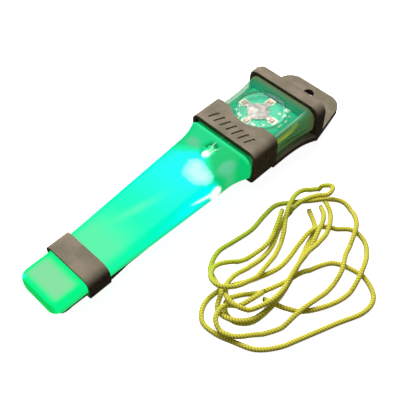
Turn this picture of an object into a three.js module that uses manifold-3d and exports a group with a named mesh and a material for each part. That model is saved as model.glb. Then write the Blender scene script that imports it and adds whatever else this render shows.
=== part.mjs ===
// Traffic baton light: a hand-sized electronic light stick. A clear green lens with a light
// guide lies in a rubber boot; the head holds a circuit board, a snap dome switch, a lamp and
// two coin cells on a sled behind an end cap, and a sprung webbing clip is screwed underneath.
// Millimetres. +Y runs from the tongue to the lanyard end and +Z leaves the lens face.
// The origin is under the middle of the light, on the surface that its clip rests on.

import * as THREE from 'three';
import { mergeVertices } from 'three/addons/utils/BufferGeometryUtils.js';
import Module from 'manifold-3d';

const wasm = await Module();
wasm.setup();

// ---- Driving dimensions: lengths along the light, from the tongue tip ----
const tongueLength = 13.4;
const lowerBandLength = 8.8;
const bodyLength = 65.9;
const middleBandLength = 12.6;
const hoodDepth = 6.2;
const tabLength = 16.8;

// ---- Driving dimensions: half widths ----
const tongueHalfWidth = 10;
const tongueCornerRadius = 4;
const bodyStartHalfWidth = 10.6;
const bodyEndHalfWidth = 12.8;
const shoulderRise = 0.8;
const mouthFlare = 1.8;
const shoulderLength = 10;
const flareLength = 16.2;
const hoodOverhang = 1.6;
const tabOverhang = 0.3;
const tabTipHalfWidth = 13.3;
const tabCornerRadius = 5;
const tabCornerEase = 1.2;
const tabCornerRun = 0.5;
const hoodBackSlope = 1.2;
const hoodBackRun = 1;
const spineHalfWidth = 8.5;
const spineFlareLength = 11;
const bandSlim = 0.7;
const middleBandRise = 0.5;
const buttonInset = 3;
const cavityLead = 7;
const bracketInset = 12;

// ---- Driving dimensions: heights and walls ----
const clipThickness = 2;
const webbingGap = 5;
const spineThickness = 1.7;
const tongueThickness = 6.3;
const lensWall = 1.5;
const bandWall = 1.2;
const bandRoof = 1.6;
const rimHeight = 1.1;
const rimWidth = 1.5;
const rimFlare = 1;
const hoodRise = 1.6;
const tabThickness = 2.8;
const tabDrop = 1.4;
const lanyardHoleRadius = 2.3;
const lanyardHoleInset = 5.2;

// ---- Driving dimensions: what is inside ----
const boardThickness = 1;
const boardEdgeGap = 1;
const partThickness = 0.5;
const cellRadius = 10;
const cellThickness = 1.6;
const trayThickness = 0.8;
const sledRail = 0.7;
const springRoom = 1.6;
const buttonRoom = 1.4;
const boardInset = 2.5;
const cellInset = 4.2;
const mouthDepth = 7.4;
const lampRadius = 1.5;
const lampLength = 5.3;
const lampFlange = 0.4;
const lampSide = -1.3;
const leadRadius = 0.25;
const leadPitch = 3.6;
const leadFoot = 3.4;
const lampFlangeLength = 1;
const lampInset = 8.8;
const buttonRadius = 9.7;
const buttonTravel = 0.6;
const domeRadius = 5.4;
const domeRise = 0.9;
const domeSheet = 0.2;
const domeLegReach = 8;
const domeLegWidth = 3.2;
const domeLegLap = 1.2;
const domeOffset = -1.5;
const wireRadius = 0.6;
const wireRoom = 0.5;
const plugFlange = 0.8;
const ringRadius = 0.55;

// ---- Driving dimensions: clip ----
const clipHalfWidth = 8.4;
const clipWaistHalfWidth = 5.4;
const clipNeckHalfWidth = 6.4;
const clipTipHalfWidth = 4;
const clipCornerRadius = 3;
const clipTipRise = 2.2;
const clipRampLength = 16;
const clipLipShare = 0.4;
const pinRadius = 0.9;
const pinHeight = 3.2;
const knuckleWall = 1;
const leverLength = 11;
const bracketThickness = 1;
const bracketLength = 15;
const earThickness = 1.2;
const earHalfLength = 3.5;
const pinStandOut = 0.5;
const screwEdge = 2.3;
const screwX = 5.6;
const screwSlotHalfLength = 1.5;
const screwSlotHalfWidth = 0.25;
const springCoilRadius = 1.7;
const springWireRadius = 0.3;
const springTurns = 5;
const springSpace = 3.2;
const springClearance = 1.3;
const springLegLength = 7;
const springGrooveDepth = 0.6;
const stepsPerTurn = 12;
const screwRadius = 1;
const screwHeadRadius = 1.9;
const screwHeadHeight = 0.8;
const screwTipDrop = 0.1;

// ---- Driving dimensions: cords ----
const cordDiameter = 1.9;
const cordGap = 0.5;
const cordLift = 0.1;
const humpCurve = 0.03;
const samplesPerSpan = 8;

// Running gap between pieces that touch.
const fit = 0.3;
// How far a cutting shape runs past the face that it opens.
const overcut = 1;

// ---- Sizes that follow from what the head holds ----
const headHalfWidth = cellRadius + fit + sledRail + fit + 2 * wireRadius + wireRoom + lensWall;
const shoulderHalfWidth = headHalfWidth + shoulderRise;
const mouthHalfWidth = headHalfWidth + mouthFlare;
const hoodHalfWidth = mouthHalfWidth + hoodOverhang;
const tabRootHalfWidth = hoodHalfWidth + tabOverhang;
const windowLength = boardInset + cellInset + 2 * cellRadius + mouthDepth - middleBandLength;

// ---- Stations along the light, measured from the tongue tip ----
const lowerBandStart = tongueLength;
const lowerBandEnd = lowerBandStart + lowerBandLength;
const middleBandStart = lowerBandEnd + bodyLength;
const middleBandEnd = middleBandStart + middleBandLength;
const lensEnd = middleBandEnd + windowLength;
const hoodStart = lensEnd + fit;
const hoodEnd = hoodStart + hoodDepth;
const lightLength = hoodEnd + tabLength;
const shoulderReveal = 1.2;
const shoulderEnd = middleBandStart - shoulderReveal;
const shoulderStart = shoulderEnd - shoulderLength;
const flareStart = lensEnd - flareLength;
const buttonStation = lensEnd - buttonRadius - buttonInset;
const cavityStart = shoulderStart - cavityLead;

// ---- Heights above the surface that the clip rests on ----
const bootBottom = clipThickness + webbingGap;
const spineTop = bootBottom + spineThickness;
const lensBottom = spineTop + fit;
const tongueTop = lensBottom + tongueThickness;
const bandSeatDrop = 0.5;
const cavityFloor = lensBottom + lensWall;
const trayBottom = cavityFloor + fit;
const trayTop = trayBottom + trayThickness;
const lowerCellBottom = trayTop + fit;
const upperCellBottom = lowerCellBottom + cellThickness + fit;
const cellStackTop = upperCellBottom + cellThickness;
const boardBottom = cellStackTop + springRoom;
const boardTop = boardBottom + boardThickness;
const cavityCeiling = boardTop + buttonRoom;
const headTop = cavityCeiling + lensWall;
const hoodTop = headTop + hoodRise;
const tabBottom = bootBottom - tabDrop;
const tabTop = tabBottom + tabThickness;

// Turns a station from the tongue tip into Y in the light's own frame.
const along = (station) => station - lightLength / 2;
const blend = (from, to, share) => from + (to - from) * share;
const shareOf = (value, from, to) => Math.min(1, Math.max(0, (value - from) / (to - from)));

// ---- Solids ----
function solidOf(geometry) {
  const bare = geometry.clone();
  bare.deleteAttribute('normal');
  bare.deleteAttribute('uv');
  const merged = mergeVertices(bare, 1e-4);
  return new wasm.Manifold(new wasm.Mesh({
    numProp: 3,
    vertProperties: new Float32Array(merged.attributes.position.array),
    triVerts: new Uint32Array(merged.index.array),
  }));
}

function geometryOf(solid) {
  const mesh = solid.getMesh();
  const geometry = new THREE.BufferGeometry();
  geometry.setAttribute('position', new THREE.BufferAttribute(mesh.vertProperties, 3));
  geometry.setIndex(new THREE.BufferAttribute(mesh.triVerts, 1));
  geometry.computeVertexNormals();
  return geometry;
}

const joined = (...solids) => solids.reduce((whole, solid) => whole.add(solid));
const cut = (solid, ...tools) => tools.reduce((rest, tool) => rest.subtract(tool), solid);

// A block between two X, two stations and two heights.
function block([x0, x1], [s0, s1], [z0, z1]) {
  const geometry = new THREE.BoxGeometry(x1 - x0, s1 - s0, z1 - z0);
  geometry.translate((x0 + x1) / 2, along((s0 + s1) / 2), (z0 + z1) / 2);
  return solidOf(geometry);
}

// An upright cylinder at an X and a station, between two heights.
function post(radius, x, station, [z0, z1], sides = 32) {
  const geometry = new THREE.CylinderGeometry(radius, radius, z1 - z0, sides);
  geometry.rotateX(Math.PI / 2);
  geometry.translate(x, along(station), (z0 + z1) / 2);
  return solidOf(geometry);
}

// A cylinder that lies along X.
function crossRod(radius, [x0, x1], station, height, sides = 24) {
  const geometry = new THREE.CylinderGeometry(radius, radius, x1 - x0, sides);
  geometry.rotateZ(Math.PI / 2);
  geometry.translate((x0 + x1) / 2, along(station), height);
  return solidOf(geometry);
}

// A flat plate: an outline of X and Y values between two heights.
function plate(shape, [z0, z1], curveSegments = 6) {
  const geometry = new THREE.ExtrudeGeometry(shape, { depth: z1 - z0, bevelEnabled: false, curveSegments });
  geometry.translate(0, 0, z0);
  return solidOf(geometry);
}

// A profile drawn in Y and Z, run between two X.
function sideProfile(shape, [x0, x1], curveSegments = 8) {
  const geometry = new THREE.ExtrudeGeometry(shape, { depth: x1 - x0, bevelEnabled: false, curveSegments });
  geometry.rotateX(Math.PI / 2);
  geometry.rotateZ(Math.PI / 2);
  geometry.translate(x0, 0, 0);
  return solidOf(geometry);
}

// A round tube along a curve.
function tube(curve, radius, steps, sides = 8) {
  const section = new THREE.Shape();
  section.absarc(0, 0, radius, 0, Math.PI * 2);
  const settings = { steps, extrudePath: curve, curveSegments: sides / 2, bevelEnabled: false };
  return new THREE.ExtrudeGeometry(section, settings);
}

// One ring of a loft: a rounded rectangle across the light at a station.
const cornerSteps = 4;
function ring({ station, halfWidth, bottom, top, bottomRadius, topRadius }) {
  const corners = [
    [halfWidth - bottomRadius, bottom + bottomRadius, bottomRadius, -90],
    [halfWidth - topRadius, top - topRadius, topRadius, 0],
    [topRadius - halfWidth, top - topRadius, topRadius, 90],
    [bottomRadius - halfWidth, bottom + bottomRadius, bottomRadius, 180],
  ];
  const points = [];
  for (const [x, z, radius, startAngle] of corners) {
    for (let step = 0; step <= cornerSteps; step += 1) {
      const angle = THREE.MathUtils.degToRad(startAngle + (90 * step) / cornerSteps);
      points.push(x + radius * Math.cos(angle), along(station), z + radius * Math.sin(angle));
    }
  }
  return points;
}

// Skins a row of rings, from the lowest station to the highest, into one closed solid.
function loft(rings) {
  const count = rings[0].length / 3;
  const faces = [];
  for (let row = 0; row + 1 < rings.length; row += 1) {
    for (let column = 0; column < count; column += 1) {
      const near = row * count + column;
      const nearNext = row * count + ((column + 1) % count);
      faces.push(near, near + count, nearNext, nearNext, near + count, nearNext + count);
    }
  }
  const last = (rings.length - 1) * count;
  for (let column = 1; column + 1 < count; column += 1) {
    faces.push(0, column, column + 1, last, last + column + 1, last + column);
  }
  const geometry = new THREE.BufferGeometry();
  geometry.setAttribute('position', new THREE.Float32BufferAttribute(rings.flat(), 3));
  geometry.setIndex(faces);
  return solidOf(geometry);
}

// ---- Materials ----
const finish = (color, roughness, metalness = 0) =>
  new THREE.MeshStandardMaterial({ color, roughness, metalness });
const lensGreen = () => finish(0x35e08f, 0.2);
const earthRubber = () => finish(0x9b8771, 0.7);
const blackSteel = () => finish(0x26231f, 0.45, 0.8);
const brightSteel = () => finish(0xc9c4bb, 0.3, 1);
const boardGreen = () => finish(0x0f9b6c, 0.4);
const blackPlastic = () => finish(0x1c1c1c, 0.55);
const paleCeramic = () => finish(0xe6e2d4, 0.5);
const cordYellow = () => finish(0xcfc62c, 0.8);

// ---- The lens surface, which the boot, the cavity and the cap all follow ----
function lensHalfWidth(station) {
  if (station < tongueCornerRadius) {
    const reach = tongueCornerRadius - station;
    const inset = tongueCornerRadius - Math.sqrt(tongueCornerRadius ** 2 - reach ** 2);
    return tongueHalfWidth - inset;
  }
  if (station <= lowerBandEnd) {
    return blend(tongueHalfWidth, bodyStartHalfWidth, shareOf(station, lowerBandStart, lowerBandEnd));
  }
  if (station <= shoulderStart) {
    return blend(bodyStartHalfWidth, bodyEndHalfWidth, shareOf(station, lowerBandEnd, shoulderStart));
  }
  if (station <= shoulderEnd) {
    return blend(bodyEndHalfWidth, shoulderHalfWidth, shareOf(station, shoulderStart, shoulderEnd) ** 2);
  }
  return blend(headHalfWidth, mouthHalfWidth, shareOf(station, flareStart, lensEnd) ** 2);
}

function lensTop(station) {
  if (station > shoulderEnd && station <= middleBandEnd) {
    return headTop - bandSeatDrop;
  }
  return blend(tongueTop, headTop, shareOf(station, lowerBandEnd, shoulderEnd));
}

const edgeRadius = 2;
const leastRadius = 0.4;
const crownRadius = 4;
const lensCrown = (station) =>
  blend(edgeRadius, crownRadius, shareOf(station, lowerBandStart, shoulderStart));

// A ring of the lens at a station, grown outwards (or inwards, below zero) by an offset.
function lensRing(station, offset = 0) {
  return ring({
    station,
    halfWidth: lensHalfWidth(station) + offset,
    bottom: lensBottom - offset,
    top: lensTop(station) + offset,
    bottomRadius: Math.max(edgeRadius + offset, leastRadius),
    topRadius: Math.max(lensCrown(station) + offset, leastRadius),
  });
}

const seam = 0.05;
const evenly = (from, to, count) =>
  Array.from({ length: count + 1 }, (unused, index) => blend(from, to, index / count));
const tipStations = evenly(0, 90, 4).map(
  (angle) => tongueCornerRadius * (1 - Math.cos(THREE.MathUtils.degToRad(angle))),
);
const bodyStations = [lowerBandStart, lowerBandEnd, shoulderStart];
const shoulderStations = evenly(shoulderStart, shoulderEnd, 5).slice(1);
const headStations = [shoulderEnd + seam, middleBandEnd, middleBandEnd + seam, flareStart];
const flareStations = evenly(flareStart, lensEnd, 4).slice(1);
const lensStations = [
  ...tipStations,
  ...bodyStations,
  ...shoulderStations,
  ...headStations,
  ...flareStations,
];

// What the lens would sweep if it were a fit larger, which the boot is cut with.
const lensClearance = () => loft(lensStations.map((station) => lensRing(station, fit)));

// ---- Lens body with its cavity, button window and board rails ----
const cavityStations = [
  cavityStart,
  ...lensStations.filter((station) => station > cavityStart),
  lensEnd + overcut,
];
const cavityHalfWidth = (station) => lensHalfWidth(station) - lensWall;
const boardHalfWidth = cavityHalfWidth(middleBandEnd) - boardEdgeGap;
const boardStart = middleBandStart + boardInset;
const plugDepth = plugFlange * 2 + ringRadius * 2 + fit * 2;
const plugStart = lensEnd - plugDepth;
const boardEnd = plugStart - fit;
const railWidth = 1.2;
const railHeight = 0.8;
const railTop = boardBottom - fit;

function lensCavity() {
  return loft(cavityStations.map((station) => lensRing(station, -lensWall)));
}

function boardRail(side) {
  const wall = cavityHalfWidth(middleBandEnd) + lensWall / 2;
  const inner = boardHalfWidth - railWidth;
  const span = side > 0 ? [inner, wall] : [-wall, -inner];
  return block(span, [boardStart, middleBandEnd + windowLength / 2], [railTop - railHeight, railTop]);
}

function lensBody() {
  const outer = loft(lensStations.map((station) => lensRing(station)));
  const window = post(buttonRadius + fit, 0, buttonStation, [boardTop, headTop + overcut], 48);
  return joined(cut(outer, lensCavity(), window), boardRail(1), boardRail(-1));
}

// ---- Rubber boot: spine, rim, lower band and middle band in one moulding ----
const lowerBandHalfWidth = bodyStartHalfWidth + fit + bandWall - bandSlim;
const middleBandHalfWidth = headHalfWidth + fit + bandWall;
const bandCorner = 3.4;
const scoopClearance = 1.9;
const bracketStation = lensEnd - bracketInset;
const screwSpan = bracketLength / 2 - screwEdge;
const screwStations = [bracketStation - screwSpan, bracketStation + screwSpan];

// Where each screw stands: an X and a station.
const screwPlaces = screwStations.map((station, index) => [index ? -screwX : screwX, station]);
const screwHoles = (heights) =>
  screwPlaces.map(([x, station]) => post(screwRadius + fit, x, station, heights, 16));

// A mirrored outline in X and Y from half widths at stations.
function mirroredOutline(rows) {
  const shape = new THREE.Shape();
  const [first, ...rest] = rows;
  shape.moveTo(first[1], along(first[0]));
  rest.forEach(([station, halfWidth]) => shape.lineTo(halfWidth, along(station)));
  [...rows].reverse().forEach(([station, halfWidth]) => shape.lineTo(-halfWidth, along(station)));
  return shape;
}

const bandBlock = (start, end, halfWidth, top) =>
  loft([start, end].map((station) => ring({
    station, halfWidth, bottom: bootBottom, top, bottomRadius: edgeRadius, topRadius: bandCorner,
  })));

function headRim() {
  const rimStations = [middleBandEnd - overcut, flareStart, ...flareStations];
  const rows = rimStations.map((station) => {
    const flare = rimFlare * shareOf(station, lensEnd - flareLength / 2, lensEnd) ** 2;
    return [station, lensHalfWidth(station) + rimWidth + flare];
  });
  return plate(mirroredOutline(rows), [bootBottom, spineTop + rimHeight]);
}

// The strip under the lens, which widens towards each band.
function bootSpine() {
  const rows = [
    [lowerBandStart, spineHalfWidth],
    [lowerBandEnd, lowerBandHalfWidth - bandWall],
    [lowerBandEnd + spineFlareLength, spineHalfWidth],
    [middleBandStart - spineFlareLength, spineHalfWidth],
    [middleBandStart, middleBandHalfWidth - bandWall],
    [middleBandEnd, spineHalfWidth],
    [lensEnd, spineHalfWidth],
  ];
  return plate(mirroredOutline(rows), [bootBottom, spineTop]);
}

function rubberBoot() {
  const lowerTop = lensTop(lowerBandEnd) + bandRoof;
  const lowerBand = bandBlock(lowerBandStart, lowerBandEnd, lowerBandHalfWidth, lowerTop);
  const middleTop = headTop - bandSeatDrop + fit + bandRoof + middleBandRise;
  const middleBand = bandBlock(middleBandStart, middleBandEnd, middleBandHalfWidth, middleTop);
  const scoop = post(
    buttonRadius + fit + scoopClearance, 0, buttonStation, [spineTop + rimHeight, middleTop + overcut], 48,
  );
  const whole = joined(bootSpine(), lowerBand, middleBand, headRim());
  return cut(whole, lensClearance(), scoop, ...screwHoles([bootBottom - overcut, lensBottom]));
}

// ---- End cap with the lanyard tab ----
const studHalfWidth = 5;
const studDepth = 3.4;
const studInset = 1.6;

function tabOutline() {
  const shape = new THREE.Shape();
  const root = along(hoodStart);
  const tip = along(lightLength);
  const waist = along(hoodEnd - hoodBackRun * 2);
  const bend = tabTipHalfWidth - tabCornerEase;
  const flat = tabTipHalfWidth - tabCornerRadius - tabCornerRun;
  shape.moveTo(-tabRootHalfWidth, root);
  shape.lineTo(tabRootHalfWidth, root);
  shape.lineTo(tabRootHalfWidth, waist);
  shape.lineTo(tabTipHalfWidth, tip - tabCornerRadius);
  shape.quadraticCurveTo(bend, tip, flat, tip);
  shape.lineTo(-flat, tip);
  shape.quadraticCurveTo(-bend, tip, -tabTipHalfWidth, tip - tabCornerRadius);
  shape.lineTo(-tabRootHalfWidth, waist);
  return shape;
}

function hood() {
  const rows = [
    [hoodStart, hoodHalfWidth, hoodTop],
    [hoodEnd - hoodBackRun, hoodHalfWidth, hoodTop],
    [hoodEnd, hoodHalfWidth - hoodBackSlope, hoodTop - hoodBackSlope],
  ];
  return loft(rows.map(([station, halfWidth, top]) => ring({
    station, halfWidth, bottom: tabBottom, top, bottomRadius: edgeRadius / 2, topRadius: crownRadius,
  })));
}

function endCap() {
  const tab = plate(tabOutline(), [tabBottom, tabTop]);
  const holeStation = lightLength - lanyardHoleInset;
  const hole = post(lanyardHoleRadius, 0, holeStation, [tabBottom - overcut, tabTop + overcut], 24);
  const pocket = block(
    [-studHalfWidth - fit, studHalfWidth + fit],
    [hoodStart - overcut, lensEnd + studDepth + fit],
    [cavityFloor + studInset - fit, cavityCeiling - studInset + fit],
  );
  return cut(joined(tab, hood()), hole, pocket);
}

// ---- Plug and seal that close the lens mouth ----
function plugSlice(start, end, inset) {
  const stations = [start, end];
  return loft(stations.map((station) => lensRing(station, -lensWall - inset)));
}

const grooveDepth = ringRadius * 2 + fit;

function capPlug() {
  const front = plugSlice(plugStart, plugStart + plugFlange, fit);
  const core = plugSlice(plugStart + plugFlange / 2, lensEnd - plugFlange / 2, fit + grooveDepth);
  const back = plugSlice(lensEnd - plugFlange, lensEnd, fit);
  const stud = block(
    [-studHalfWidth, studHalfWidth],
    [lensEnd - plugFlange / 2, lensEnd + studDepth],
    [cavityFloor + studInset, cavityCeiling - studInset],
  );
  return joined(front, core, back, stud);
}

function capSeal() {
  const station = plugStart + plugFlange + fit + ringRadius;
  const flat = lensRing(station, -lensWall - fit - ringRadius);
  const points = [];
  for (let index = 0; index < flat.length; index += 3) {
    points.push(new THREE.Vector3(flat[index], flat[index + 1], flat[index + 2]));
  }
  return tube(new THREE.CatmullRomCurve3(points, true), ringRadius, 60, 6);
}

// ---- Battery sled, cells and contacts ----
const cellStation = boardStart + cellRadius + cellInset;
const railSide = cellRadius + fit;
const sledHalfWidth = railSide + sledRail;
const contactSheet = 0.3;
const contactHalfLength = 3;
const contactFootReach = 2;
const railLap = 0.2;
const sledRailLead = 8;
const sledStopReach = 6;
const bowSpringReach = 7;
const bowSpringHalfWidth = 2;
const leadRunHeight = 2.6;
const leadBend = 3;

function batterySled() {
  const sledEnd = plugStart - fit;
  const sledStart = cellStation - cellRadius;
  const railHeights = [trayTop - railLap, cellStackTop - fit];
  const floor = block([-sledHalfWidth, sledHalfWidth], [sledStart, sledEnd], [trayBottom, trayTop]);
  const rightRail = block([railSide, sledHalfWidth], [cellStation - sledRailLead, sledEnd], railHeights);
  const stopStart = cellStation + cellRadius + fit;
  const stop = block([-sledStopReach, sledHalfWidth], [stopStart, sledEnd], railHeights);
  return joined(floor, rightRail, stop);
}

const coinCell = (bottom) => post(cellRadius, 0, cellStation, [bottom, bottom + cellThickness], 48);

function positiveContact() {
  const face = -railSide - contactSheet;
  const span = [cellStation - contactHalfLength, cellStation + contactHalfLength];
  const blade = block([face, face + contactSheet], span, [lowerCellBottom, railTop]);
  const foot = block([face, face + contactFootReach], span, [railTop - contactSheet, railTop]);
  return joined(blade, foot);
}

function negativeSpring() {
  const bow = cellStackTop + fit;
  const high = railTop - contactSheet;
  const pull = 2 * bow - high;
  const middle = along(cellStation);
  const start = middle - bowSpringReach;
  const end = middle + bowSpringReach;
  const shape = new THREE.Shape();
  shape.moveTo(start, high);
  shape.quadraticCurveTo(middle, pull, end, high);
  shape.lineTo(end, railTop);
  shape.quadraticCurveTo(middle, pull + contactSheet, start, railTop);
  return sideProfile(shape, [-bowSpringHalfWidth, bowSpringHalfWidth]);
}

function batteryLead() {
  const x = sledHalfWidth + wireRadius + fit;
  const runHeight = trayTop + leadRunHeight;
  const start = middleBandEnd + overcut;
  const end = boardEnd - overcut;
  const rise = railTop - railHeight - fit - wireRadius;
  const points = [
    [start, rise],
    [start + leadBend, runHeight],
    [(start + end) / 2, runHeight],
    [end - leadBend, runHeight],
    [end, rise],
  ];
  const curve = new THREE.CatmullRomCurve3(
    points.map(([station, height]) => new THREE.Vector3(x, along(station), height)),
  );
  return tube(curve, wireRadius, 12);
}

// ---- Board and what is on it ----
function circuitBoard() {
  return block([-boardHalfWidth, boardHalfWidth], [boardStart, boardEnd], [boardBottom, boardTop]);
}

// A small part on the board: name, X, distance from the middle of the button, width, length.
const boardParts = [
  ['controller_chip', -1, -15.2, 4, 3],
  ['resistor_1', -5.2, -6.8, 1.6, 0.9],
  ['resistor_2', 9.6, -0.4, 0.9, 1.6],
  ['resistor_3', 7.6, 4.9, 0.9, 1.4],
  ['capacitor_1', 2, -6.8, 1.6, 1],
  ['capacitor_2', 6.5, 8, 1.7, 1.7],
];
const boardPart = ([, x, offset, width, length]) => block(
  [x - width / 2, x + width / 2],
  [buttonStation + offset - length / 2, buttonStation + offset + length / 2],
  [boardTop + fit, boardTop + fit + partThickness],
);

// A thin domed sheet on four legs, which clicks when it is pressed.
function snapDome() {
  const foot = boardTop + fit;
  const shell = [];
  const arcSteps = 6;
  const height = (radius) => foot + domeSheet + domeRise * (1 - (radius / domeRadius) ** 2);
  for (let step = 0; step <= arcSteps; step += 1) {
    const radius = (domeRadius * step) / arcSteps;
    shell.push(new THREE.Vector2(radius, height(radius)));
  }
  for (let step = arcSteps; step >= 0; step -= 1) {
    const radius = (domeRadius * step) / arcSteps;
    shell.push(new THREE.Vector2(radius, height(radius) - domeSheet));
  }
  const geometry = new THREE.LatheGeometry(shell.reverse(), 24);
  geometry.rotateX(Math.PI / 2);
  geometry.translate(domeOffset, along(buttonStation), 0);
  const legs = [0, 90, 180, 270].map((degrees) => {
    const root = domeRadius - domeLegLap;
    const leg = new THREE.BoxGeometry(domeLegReach - root, domeLegWidth, domeSheet);
    leg.translate((domeLegReach + root) / 2, 0, foot + domeSheet / 2);
    leg.rotateZ(THREE.MathUtils.degToRad(degrees));
    leg.translate(domeOffset, along(buttonStation), 0);
    return solidOf(leg);
  });
  return joined(solidOf(geometry), ...legs);
}

const buttonPad = () =>
  post(buttonRadius, 0, buttonStation, [boardTop + fit + domeSheet + domeRise + fit, headTop], 48);

// ---- Lamp: a round lamp that lies along the light guide ----
const lampTip = cavityStart + lampInset;
const lampEnd = lampTip + lampLength;
const lampHeight = lensTop(lampTip) - lensWall - fit - lampRadius - lampFlange;

function ledLamp() {
  const profile = [new THREE.Vector2(0, 0)];
  const domeSteps = 5;
  for (let step = 1; step <= domeSteps; step += 1) {
    const angle = (Math.PI / 2) * (step / domeSteps);
    profile.push(new THREE.Vector2(lampRadius * Math.sin(angle), lampRadius * (1 - Math.cos(angle))));
  }
  profile.push(new THREE.Vector2(lampRadius, lampLength - lampFlangeLength));
  profile.push(new THREE.Vector2(lampRadius + lampFlange, lampLength - lampFlangeLength));
  profile.push(new THREE.Vector2(lampRadius + lampFlange, lampLength));
  profile.push(new THREE.Vector2(0, lampLength));
  const geometry = new THREE.LatheGeometry(profile, 24);
  geometry.translate(lampSide, along(lampTip), lampHeight);
  return solidOf(geometry);
}

const leadDropShare = 0.6;
function ledLead(side) {
  const x = lampSide + (side * leadPitch) / 2;
  const under = boardBottom - fit - leadRadius;
  const points = [
    [lampEnd + fit, lampHeight],
    [boardStart - overcut, blend(lampHeight, under, leadDropShare)],
    [boardStart + overcut, under],
    [boardStart + leadFoot, under],
  ];
  const curve = new THREE.CatmullRomCurve3(
    points.map(([station, height]) => new THREE.Vector3(x, along(station), height)),
  );
  return tube(curve, leadRadius, 10, 6);
}

// ---- Clip under the light ----
const earInner = clipHalfWidth + fit;
const earOuter = earInner + earThickness;
const bracketTop = bootBottom - fit;
const bracketBottom = bracketTop - bracketThickness;
const knuckleRadius = pinRadius + fit + knuckleWall;
const pinchHeight = bootBottom - fit;
const clipTip = 4.2;
const clipPinch = lowerBandStart + lowerBandLength / 2;

function clipBracket() {
  const span = [bracketStation - bracketLength / 2, bracketStation + bracketLength / 2];
  const base = block([-earOuter, earOuter], span, [bracketBottom, bracketTop]);
  const earSpan = [bracketStation - earHalfLength, bracketStation + earHalfLength];
  const earHeights = [pinHeight - knuckleRadius + fit, bracketBottom + bracketThickness / 2];
  const ears = joined(
    block([earInner, earOuter], earSpan, earHeights),
    block([-earOuter, -earInner], earSpan, earHeights),
  );
  const reach = earOuter + overcut;
  const bore = crossRod(pinRadius + fit, [-reach, reach], bracketStation, pinHeight);
  return cut(joined(base, ears), bore, ...screwHoles([bracketBottom - overcut, bracketTop + overcut]));
}

const pinHalfLength = earOuter + pinStandOut;
const clipPin = () => crossRod(pinRadius, [-pinHalfLength, pinHalfLength], bracketStation, pinHeight);

// The clip from the side: flat on its lever end, ramped up to the pinch and down again to the tip.
function clipStrip() {
  const end = along(bracketStation + leverLength);
  const foot = along(clipPinch + clipRampLength);
  const pinch = along(clipPinch);
  const tip = along(clipTip);
  const reach = clipRampLength / 4;
  const rise = pinchHeight - clipThickness;
  const tipTop = clipTipRise + clipThickness;
  const lip = clipThickness * clipLipShare;
  const shape = new THREE.Shape();
  shape.moveTo(end, 0);
  shape.lineTo(end, clipThickness);
  shape.lineTo(foot, clipThickness);
  shape.bezierCurveTo(foot - reach, clipThickness + lip, pinch + reach, pinchHeight, pinch, pinchHeight);
  shape.bezierCurveTo(pinch - reach, pinchHeight, tip + reach, tipTop + lip, tip, tipTop);
  shape.lineTo(tip, clipTipRise);
  shape.bezierCurveTo(tip + reach, clipTipRise + lip, pinch - reach, rise, pinch, rise);
  shape.bezierCurveTo(pinch + reach, rise, foot - reach, lip, foot, 0);
  return sideProfile(shape, [-clipHalfWidth, clipHalfWidth]);
}

// The clip from above: a blunt tip, a wide pinch, a narrow springy waist and a wide lever end.
function clipPlan() {
  const tip = along(clipTip);
  const shoulder = tip + clipTipHalfWidth;
  const end = along(bracketStation + leverLength);
  const turn = end - clipCornerRadius;
  const corner = clipHalfWidth - clipCornerRadius;
  const side = [
    [clipHalfWidth, along(lowerBandEnd)],
    [clipWaistHalfWidth, along(clipPinch + clipRampLength)],
    [clipWaistHalfWidth, along(middleBandEnd - clipRampLength / 2)],
    [clipHalfWidth, along(middleBandEnd)],
  ];
  const shape = new THREE.Shape();
  shape.moveTo(-clipTipHalfWidth, tip - overcut);
  shape.lineTo(clipTipHalfWidth, tip - overcut);
  shape.quadraticCurveTo(clipNeckHalfWidth, tip, clipNeckHalfWidth, shoulder);
  side.forEach(([x, y]) => shape.lineTo(x, y));
  shape.lineTo(clipHalfWidth, turn);
  shape.quadraticCurveTo(clipHalfWidth, end, corner, end);
  shape.lineTo(-corner, end);
  shape.quadraticCurveTo(-clipHalfWidth, end, -clipHalfWidth, turn);
  [...side].reverse().forEach(([x, y]) => shape.lineTo(-x, y));
  shape.lineTo(-clipNeckHalfWidth, shoulder);
  shape.quadraticCurveTo(-clipNeckHalfWidth, tip, -clipTipHalfWidth, tip - overcut);
  return plate(shape, [-overcut, bootBottom]);
}

const springHalfRun = springSpace - fit - springWireRadius;

// The lever has a window under the spring's coil and a shallow groove for its lower leg.
function webbingClip() {
  const strip = clipStrip().intersect(clipPlan());
  const knuckles = joined(
    crossRod(knuckleRadius, [springSpace, clipHalfWidth], bracketStation, pinHeight),
    crossRod(knuckleRadius, [-clipHalfWidth, -springSpace], bracketStation, pinHeight),
  );
  const webSpan = [bracketStation - knuckleRadius, bracketStation + knuckleRadius];
  const webHeights = [clipThickness / 2, pinHeight];
  const webs = joined(
    block([springSpace, clipHalfWidth], webSpan, webHeights),
    block([-clipHalfWidth, -springSpace], webSpan, webHeights),
  );
  const reach = clipHalfWidth + overcut;
  const bore = crossRod(pinRadius + fit, [-reach, reach], bracketStation, pinHeight);
  const windowReach = springCoilRadius + springWireRadius + springClearance;
  const window = block(
    [-springSpace, springSpace],
    [bracketStation - windowReach, bracketStation + windowReach],
    [-overcut, clipThickness + overcut],
  );
  const groove = block(
    [-springHalfRun - springWireRadius - fit, -springHalfRun + springWireRadius + fit],
    [bracketStation - springLegLength - fit, bracketStation],
    [clipThickness - springGrooveDepth, clipThickness + springWireRadius],
  );
  return cut(joined(strip, knuckles, webs), bore, window, groove);
}

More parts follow.
